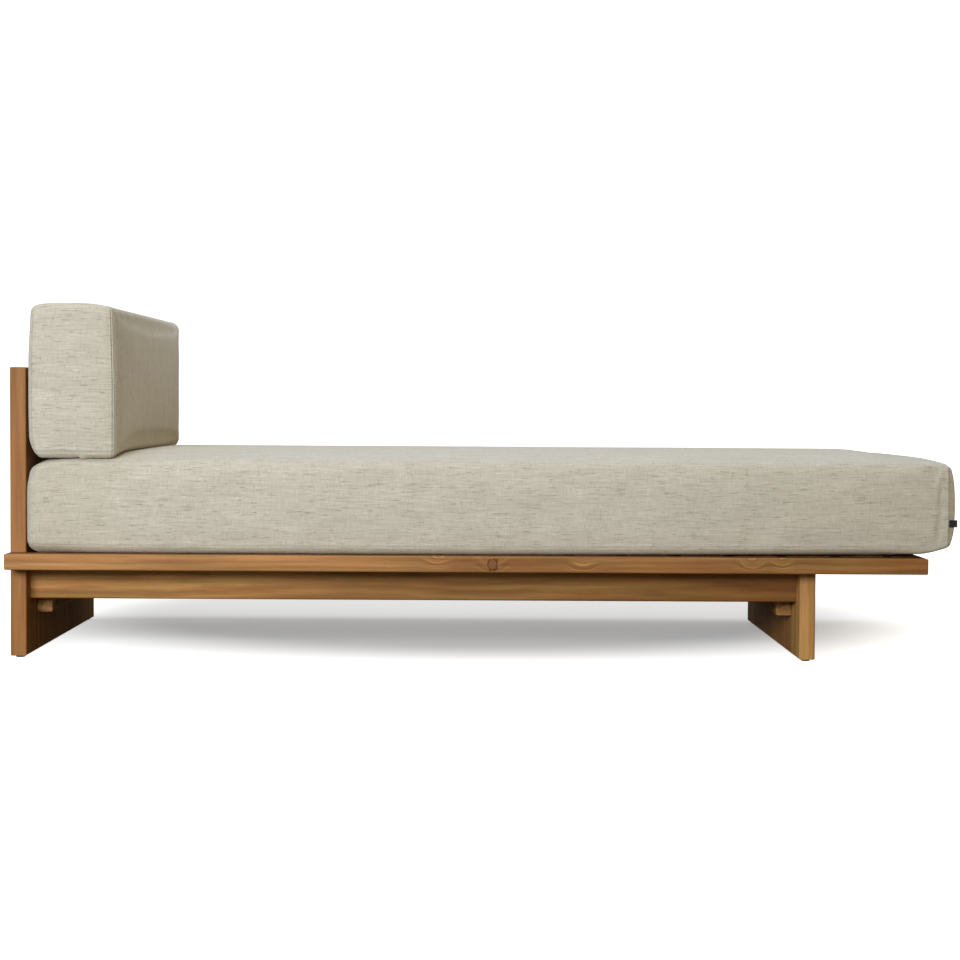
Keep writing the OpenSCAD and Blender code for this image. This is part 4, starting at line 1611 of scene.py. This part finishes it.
@dataclass(frozen=True)
class Tag:
    """The small folded cloth tab that is sewn into the mattress's near corner seam.

    Attributes:
        width: How far it stands out from the seam, in metres.
        height: Its height.
        cloth: Thickness of one layer.
        fold: Radius of the fold, at the middle of the layer.
        place: Middle of its sewn edge.
        turn: Its turn away from the mattress's side, in radians.
        finish: Its black cloth.
    """

    width: float = 0.0172
    height: float = 0.0158
    cloth: float = 0.0005
    fold: float = 0.0006
    place: Triple = (1.0160, -0.4244, 0.3083)
    turn: float = math.radians(5.0)
    finish: PlainFinish = PlainFinish(
        "tag_cloth", (0.006, 0.006, 0.0065), (0.013, 0.013, 0.014), (0.0006, 0.003, 0.0006),
        (0.7, 0.85))

    def build(self) -> bpy.types.Object:
        """Makes the tab as a strip that runs out, round the fold and back.

        With u along the strip from the sewn edge, the first layer lies at -r(u) and the second at
        r(u) from the middle, where r grows from half the cloth to the fold's radius over 5 mm.
        The tab sways by 0.5 mm * (x / width)^2 * sin(3 z / height + 1).

        Returns:
            The finished object.
        """
        leg = self.width - self.fold - self.cloth / 2
        length = 2.0 * leg + math.pi * self.fold
        along = np.concatenate([
            np.linspace(0.0, leg, 13), np.linspace(leg, length - leg, 9)[1:-1],
            np.linspace(length - leg, length, 13)])
        layer = np.array([-0.5, 0.5]) * self.cloth
        lattice = Lattice.of(along, layer, np.linspace(-0.5, 0.5, 11) * self.height)
        u, thick, z = lattice.cut.T
        bend = np.clip((u - leg) / self.fold, 0.0, math.pi)
        out = np.where(u > length - leg, length - u, np.minimum(u, leg))
        gap = self.cloth / 2 + (self.fold - self.cloth / 2) * smooth(out, 0.0, 0.005)
        x = out + (gap - thick) * np.sin(bend)
        y = -(gap - thick) * np.cos(bend)
        y = y + 0.0005 * (x / self.width) ** 2 * np.sin(3.0 * z / self.height + 1.0)
        c, s = math.cos(self.turn), math.sin(self.turn)
        points = np.stack([c * x + s * y, c * y - s * x, z], axis=1) + np.asarray(self.place)
        thing = new_mesh("mattress_tab", points, lattice.faces, soft=False)
        thing.data.materials.append(self.finish.material())
        log.info("tab: %d faces", len(lattice.faces))
        return thing


def dress(name: str, material: bpy.types.Material) -> None:
    """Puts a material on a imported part.

    Args:
        name: The part's name.
        material: Its material.
    """
    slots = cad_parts[name].data.materials
    slots.clear()
    slots.append(material)
    log.info("dressed %s", name)


def centre(name: str) -> Triple:
    """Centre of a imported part's box."""
    low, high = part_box(name)
    return tuple((low + high) / 2)


@dataclass
class Platform:
    """The wooden platform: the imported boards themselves, each in teak of its own.

    Attributes:
        near_side: Place of its near side along Y, in metres.
        flames: For each flame in the near rail its place along X, its height, its reach along X
            and how far the rings move there.
    """

    near_side: float = -0.45
    flames: tuple[tuple[float, float, float, float], ...] = (
        (-0.0987, 0.222, 0.045, 0.010), (0.2163, 0.206, 0.06, 0.012),
        (0.5833, 0.214, 0.05, 0.016), (0.6483, 0.218, 0.04, 0.010))

    def board(self, name: str, along: Along, seed: int, **look: object) -> None:
        """Gives a board its own teak.

        Args:
            name: The part.
            along: The axis of its grain.
            seed: Number that moves its figure and draws what look leaves open.
            **look: Other fields of Teak.
        """
        dice = np.random.default_rng(seed)
        across, below = dice.uniform(-0.03, 0.03), dice.choice([-1, 1]) * dice.uniform(0.04, 0.09)
        drawn = {
            "pith": (float(across), float(below)),
            "tone": float(dice.uniform(0.9, 1.08)),
            "warmth": float(dice.uniform(-0.5, 0.6))}
        dress(name, Teak(along, centre(name), seed, **(drawn | look)).material(name))

    def build(self) -> None:
        """Dresses every wooden board."""
        self.board("head_board_1", Along.Z, 11, tone=0.785, warmth=1.0, fade=-0.20, contrast=0.6)
        self.board("foot_board_1", Along.Z, 31, tone=1.28, warmth=-0.6, contrast=0.5, blue=0.9)
        for i in range(2, 8):
            self.board(f"head_board_{i}", Along.Z, 10 + i, contrast=0.6)
            self.board(f"foot_board_{i}", Along.Z, 30 + i, contrast=0.5)
        for i in range(1, 17):
            self.board(f"slat_{i}", Along.Y, 50 + i, contrast=0.8)
        side, middle = self.near_side, centre("side_rail_near")[1]
        # The near rail's upper face is painted darker where the mattress overhangs it, as painted
        # shade.
        self.board(
            "side_rail_near", Along.X, 3, pith=(0.012, -0.075), tone=0.915, fade=-0.23,
            warmth=0.3, contrast=0.6, stain=side + 0.006 - middle,
            knot=(0.0210, middle - 0.03, 0.2163),
            flares=tuple(Flare((x, side, z), (reach, 0.06, 0.03), lift)
                         for x, z, reach, lift in self.flames))
        # rise lightens the beam's upper part as painted light, against the shade under the near
        # rail.
        self.board(
            "beam_near", Along.X, 6, pith=(0.05, 0.02), tone=1.08, fade=-0.38, warmth=0.3,
            figure=0.05, contrast=0.55, rise=8.0, blue=0.82, flares=(
                Flare((-0.935, -0.41, 0.150), (0.11, 0.06, 0.05), 0.020),
                Flare((-0.590, -0.41, 0.156), (0.12, 0.06, 0.05), 0.022)))
        self.board("side_rail_far", Along.X, 4, tone=0.98)
        self.board("foot_rail", Along.Y, 5, tone=0.92)
        self.board("beam_centre", Along.X, 7)
        self.board("beam_far", Along.X, 8)
        self.board("cleat_head", Along.Y, 9, tone=1.1, warmth=-0.5)
        self.board("cleat_foot", Along.Y, 40, tone=1.1, warmth=-0.4)


class Hardware:
    """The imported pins, bolts, nails, glides and zips.

    Attributes:
        FINISHES: Each finish with the parts that it goes on.
    """

    FINISHES = (
        (PlainFinish("hardwood_pins", (0.40, 0.22, 0.10), (0.28, 0.14, 0.06),
                     (0.001, 0.001, 0.012), (0.5, 0.7)),
         ("rail_dowels", "bolt_plugs")),
        (PlainFinish("stainless", (0.62, 0.62, 0.61), (0.50, 0.50, 0.50),
                     (0.0006, 0.004, 0.004), (0.22, 0.38), 1.0, 0.00003),
         ("slat_screws", "cleat_bolts", "cleat_washers", "cleat_inserts", "beam_bolts",
          "beam_washers", "barrel_nuts", "glide_nails")),
        (PlainFinish("glide_plastic", (0.035, 0.034, 0.033), (0.022, 0.021, 0.021),
                     (0.002, 0.002, 0.002), (0.45, 0.6)),
         ("glides",)),
        (PlainFinish("zip_plastic", (0.05, 0.05, 0.052), (0.03, 0.03, 0.032),
                     (0.001, 0.001, 0.001), (0.5, 0.65)),
         ("mattress_zip", "back_zip")),
        (PlainFinish("zip_metal", (0.55, 0.55, 0.56), (0.42, 0.42, 0.43),
                     (0.002, 0.002, 0.002), (0.25, 0.4), 1.0),
         ("mattress_zip_slider", "back_zip_slider")))

    def build(self) -> None:
        """Dresses every part in its finish."""
        for finish, names in self.FINISHES:
            material = finish.material()
            for name in names:
                dress(name, material)


@dataclass(frozen=True)
class Lamp:
    """A rectangular soft light.

    Attributes:
        name: The light's name.
        at: Its centre, in metres.
        aim: The point that it faces.
        size: Its width and height, in metres.
        power: Its power in watts.
        tint: Its colour.
    """

    name: str
    at: Triple
    aim: Triple
    size: tuple[float, float]
    power: float
    tint: Tint = (1.0, 1.0, 1.0)

    def build(self) -> None:
        """Adds the light."""
        data = bpy.data.lights.new(self.name, "AREA")
        data.shape, data.size, data.size_y = "RECTANGLE", *self.size
        data.energy, data.color = self.power, self.tint
        thing = bpy.data.objects.new(self.name, data)
        turn = (Vector(self.aim) - Vector(self.at)).to_track_quat("-Z", "Y").to_matrix().to_4x4()
        thing.matrix_world = Matrix.Translation(self.at) @ turn
        bpy.context.scene.collection.objects.link(thing)


@dataclass
class Studio:
    """A plain pale floor, soft light from the front left, and the photograph's camera.

    Attributes:
        lens: Focal length for a 36 mm sensor, in millimetres.
        eye: The camera's place in the row frame, in metres.
        yaw: Turn to the left, in radians.
        pitch: Tilt down, in radians.
        roll: Turn about the line of sight, in radians.
        floor_paint: Colour of the floor that the camera sees.
        floor_bounce: Colour that the floor throws back on the object.
        floor_glow: Brightness that the floor adds where it is darkest; it is 1 far away.
        floor_size: Half the floor's width, in metres.
        shade_centre: Middle of the darker part of the floor, along X and Y.
        shade_reach: Size of that part along X and Y.
        sky_top: Colour of the light from above.
        sky_side: Colour of the light from the sides and below.
        sky_foot: Colour of the light from the foot end.
        sky_strength: Brightness of all three.
        lamps: The soft lights.
    """

    lens: float = 72.925
    eye: Triple = (-0.04205, -4.64547, 0.56364)
    yaw: float = -0.0083
    pitch: float = 0.0393
    roll: float = 0.0062
    floor_paint: Tint = (0.66, 0.66, 0.66)
    floor_bounce: Tint = (0.12, 0.11, 0.09)
    floor_glow: float = 0.33
    floor_size: float = 30.0
    shade_centre: tuple[float, float] = (-0.02, 0.55)
    shade_reach: tuple[float, float] = (1.05, 0.85)
    sky_top: Tint = (0.88, 0.98, 1.12)
    sky_side: Tint = (1.04, 0.96, 0.84)
    sky_foot: Tint = (0.98, 0.70, 0.35)
    sky_strength: float = 0.54
    lamps: tuple[Lamp, ...] = (
        Lamp("key", (-1.6, -4.6, 1.45), (-0.1, 0.0, 0.25), (2.4, 1.1), 160.0),
        Lamp("top", (-0.2, 0.5, 3.4), (0.0, 0.1, 0.2), (3.0, 1.6), 36.0, (0.90, 0.97, 1.03)))

    def camera(self) -> None:
        """Sets the camera where the photograph was taken from."""
        data = bpy.data.cameras.new("camera")
        data.lens, data.sensor_width = self.lens, 36.0
        data.clip_start, data.clip_end = 0.05, 200.0
        thing = bpy.data.objects.new("camera", data)
        turn = Matrix.Rotation(self.yaw, 4, "Z")
        turn = turn @ Matrix.Rotation(math.pi / 2 - self.pitch, 4, "X")
        turn = turn @ Matrix.Rotation(self.roll, 4, "Z")
        thing.matrix_world = Matrix.Translation(self.eye) @ turn
        bpy.context.scene.collection.objects.link(thing)
        bpy.context.scene.camera = thing

    def _by_ray(self, make: Shader, on_object: Socket, seen: Socket, output: str) -> None:
        """Ends a tree in one shader for the camera's own rays and another for all others.

        Args:
            make: The tree's writer.
            on_object: The shader that all other rays meet.
            seen: The shader that the camera's own rays meet.
            output: The type of the tree's output node.
        """
        eye = make.add("LightPath").outputs["Is Camera Ray"]
        mixed = make.add("MixShader", eye, on_object, seen).outputs[0]
        make.tree.links.new(mixed, make.add(output).inputs["Surface"])

    def floor(self) -> None:
        """Lays the pale floor, which is bright to the camera and throws little light back."""
        corners = self.floor_size * np.array([[-1, -1, 0], [1, -1, 0], [1, 1, 0], [-1, 1, 0]])
        thing = new_mesh("floor", corners, np.array([[0, 1, 2, 3]]), soft=False)
        material, make = new_material("pale_floor")
        spot = make.add("TexCoord").outputs["Object"]
        cloud = make.spread(make.noise(spot, 0.7, 2.0), 0.3, 0.7)
        paint = make.mix(cloud, self.floor_paint, tuple(0.97 * c for c in self.floor_paint))
        away = make.vector("SUBTRACT", spot, (*self.shade_centre, 0.0))
        away = make.vector("MULTIPLY", away, (*(1.0 / reach for reach in self.shade_reach), 1.0))
        glow = make.spread(make.vector("LENGTH", away), 0.75, 1.35, self.floor_glow, 1.0)
        painted = make.add("BsdfDiffuse", paint).outputs[0]
        glowing = make.add("Emission", (1.0, 1.0, 1.0), glow).outputs[0]
        seen = make.add("AddShader", painted, glowing).outputs[0]
        dull = make.add("BsdfDiffuse", self.floor_bounce).outputs[0]
        self._by_ray(make, dull, seen, "OutputMaterial")
        thing.data.materials.append(material)

    def sky(self) -> None:
        """Fills the room with soft light: white where the camera looks, dimmer on the object.

        On the object it is cool above, warm from the sides and below, and dim low behind.
        """
        world = bpy.data.worlds.new("studio")
        world.use_nodes = True
        make = Shader(world.node_tree)
        way = make.add("TexCoord").outputs["Generated"]
        side, behind, height = make.add("SeparateXYZ", way).outputs
        dome = make.mix(make.spread(height, 0.0, 0.9), self.sky_side, self.sky_top)
        dome = make.mix(make.spread(side, -0.3, 0.8), dome, self.sky_foot)
        low_behind = make.times(make.spread(behind, 0.0, 0.5), make.spread(height, 0.5, 0.1))
        strength = make.scaled(low_behind, -0.5 * self.sky_strength, self.sky_strength)
        on_object = make.add("Background", dome, strength).outputs[0]
        seen = make.add("Background", (1.0, 1.0, 1.0), 1.2).outputs[0]
        self._by_ray(make, on_object, seen, "OutputWorld")
        bpy.context.scene.world = world

    def build(self) -> None:
        """Makes the camera, the floor and the lights."""
        self.camera()
        self.floor()
        self.sky()
        for lamp in self.lamps:
            lamp.build()
        view = bpy.context.scene.view_settings
        view.view_transform, view.look = "Standard", "None"
        log.info("studio ready")


def main() -> None:
    """Builds and dresses every piece, and sets the mattress, the back cushion and the tab on
    the body that carries each.
    """
    logging.basicConfig(level=logging.INFO, format="%(message)s")
    Studio().build()
    Platform().build()
    Hardware().build()
    cloth = CoverCloth().material()
    mattress = Mattress().build(cloth)
    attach(mattress, "mattress")
    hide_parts("mattress_cover", "mattress_core")
    cushion = BackCushion().build(cloth)
    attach(cushion, "back_cushion")
    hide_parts("back_cover", "back_core")
    tab = Tag().build()
    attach(tab, "mattress")
    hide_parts("mattress_tag")
    log.info("all pieces built")


if __name__ == "__main__":
    main()
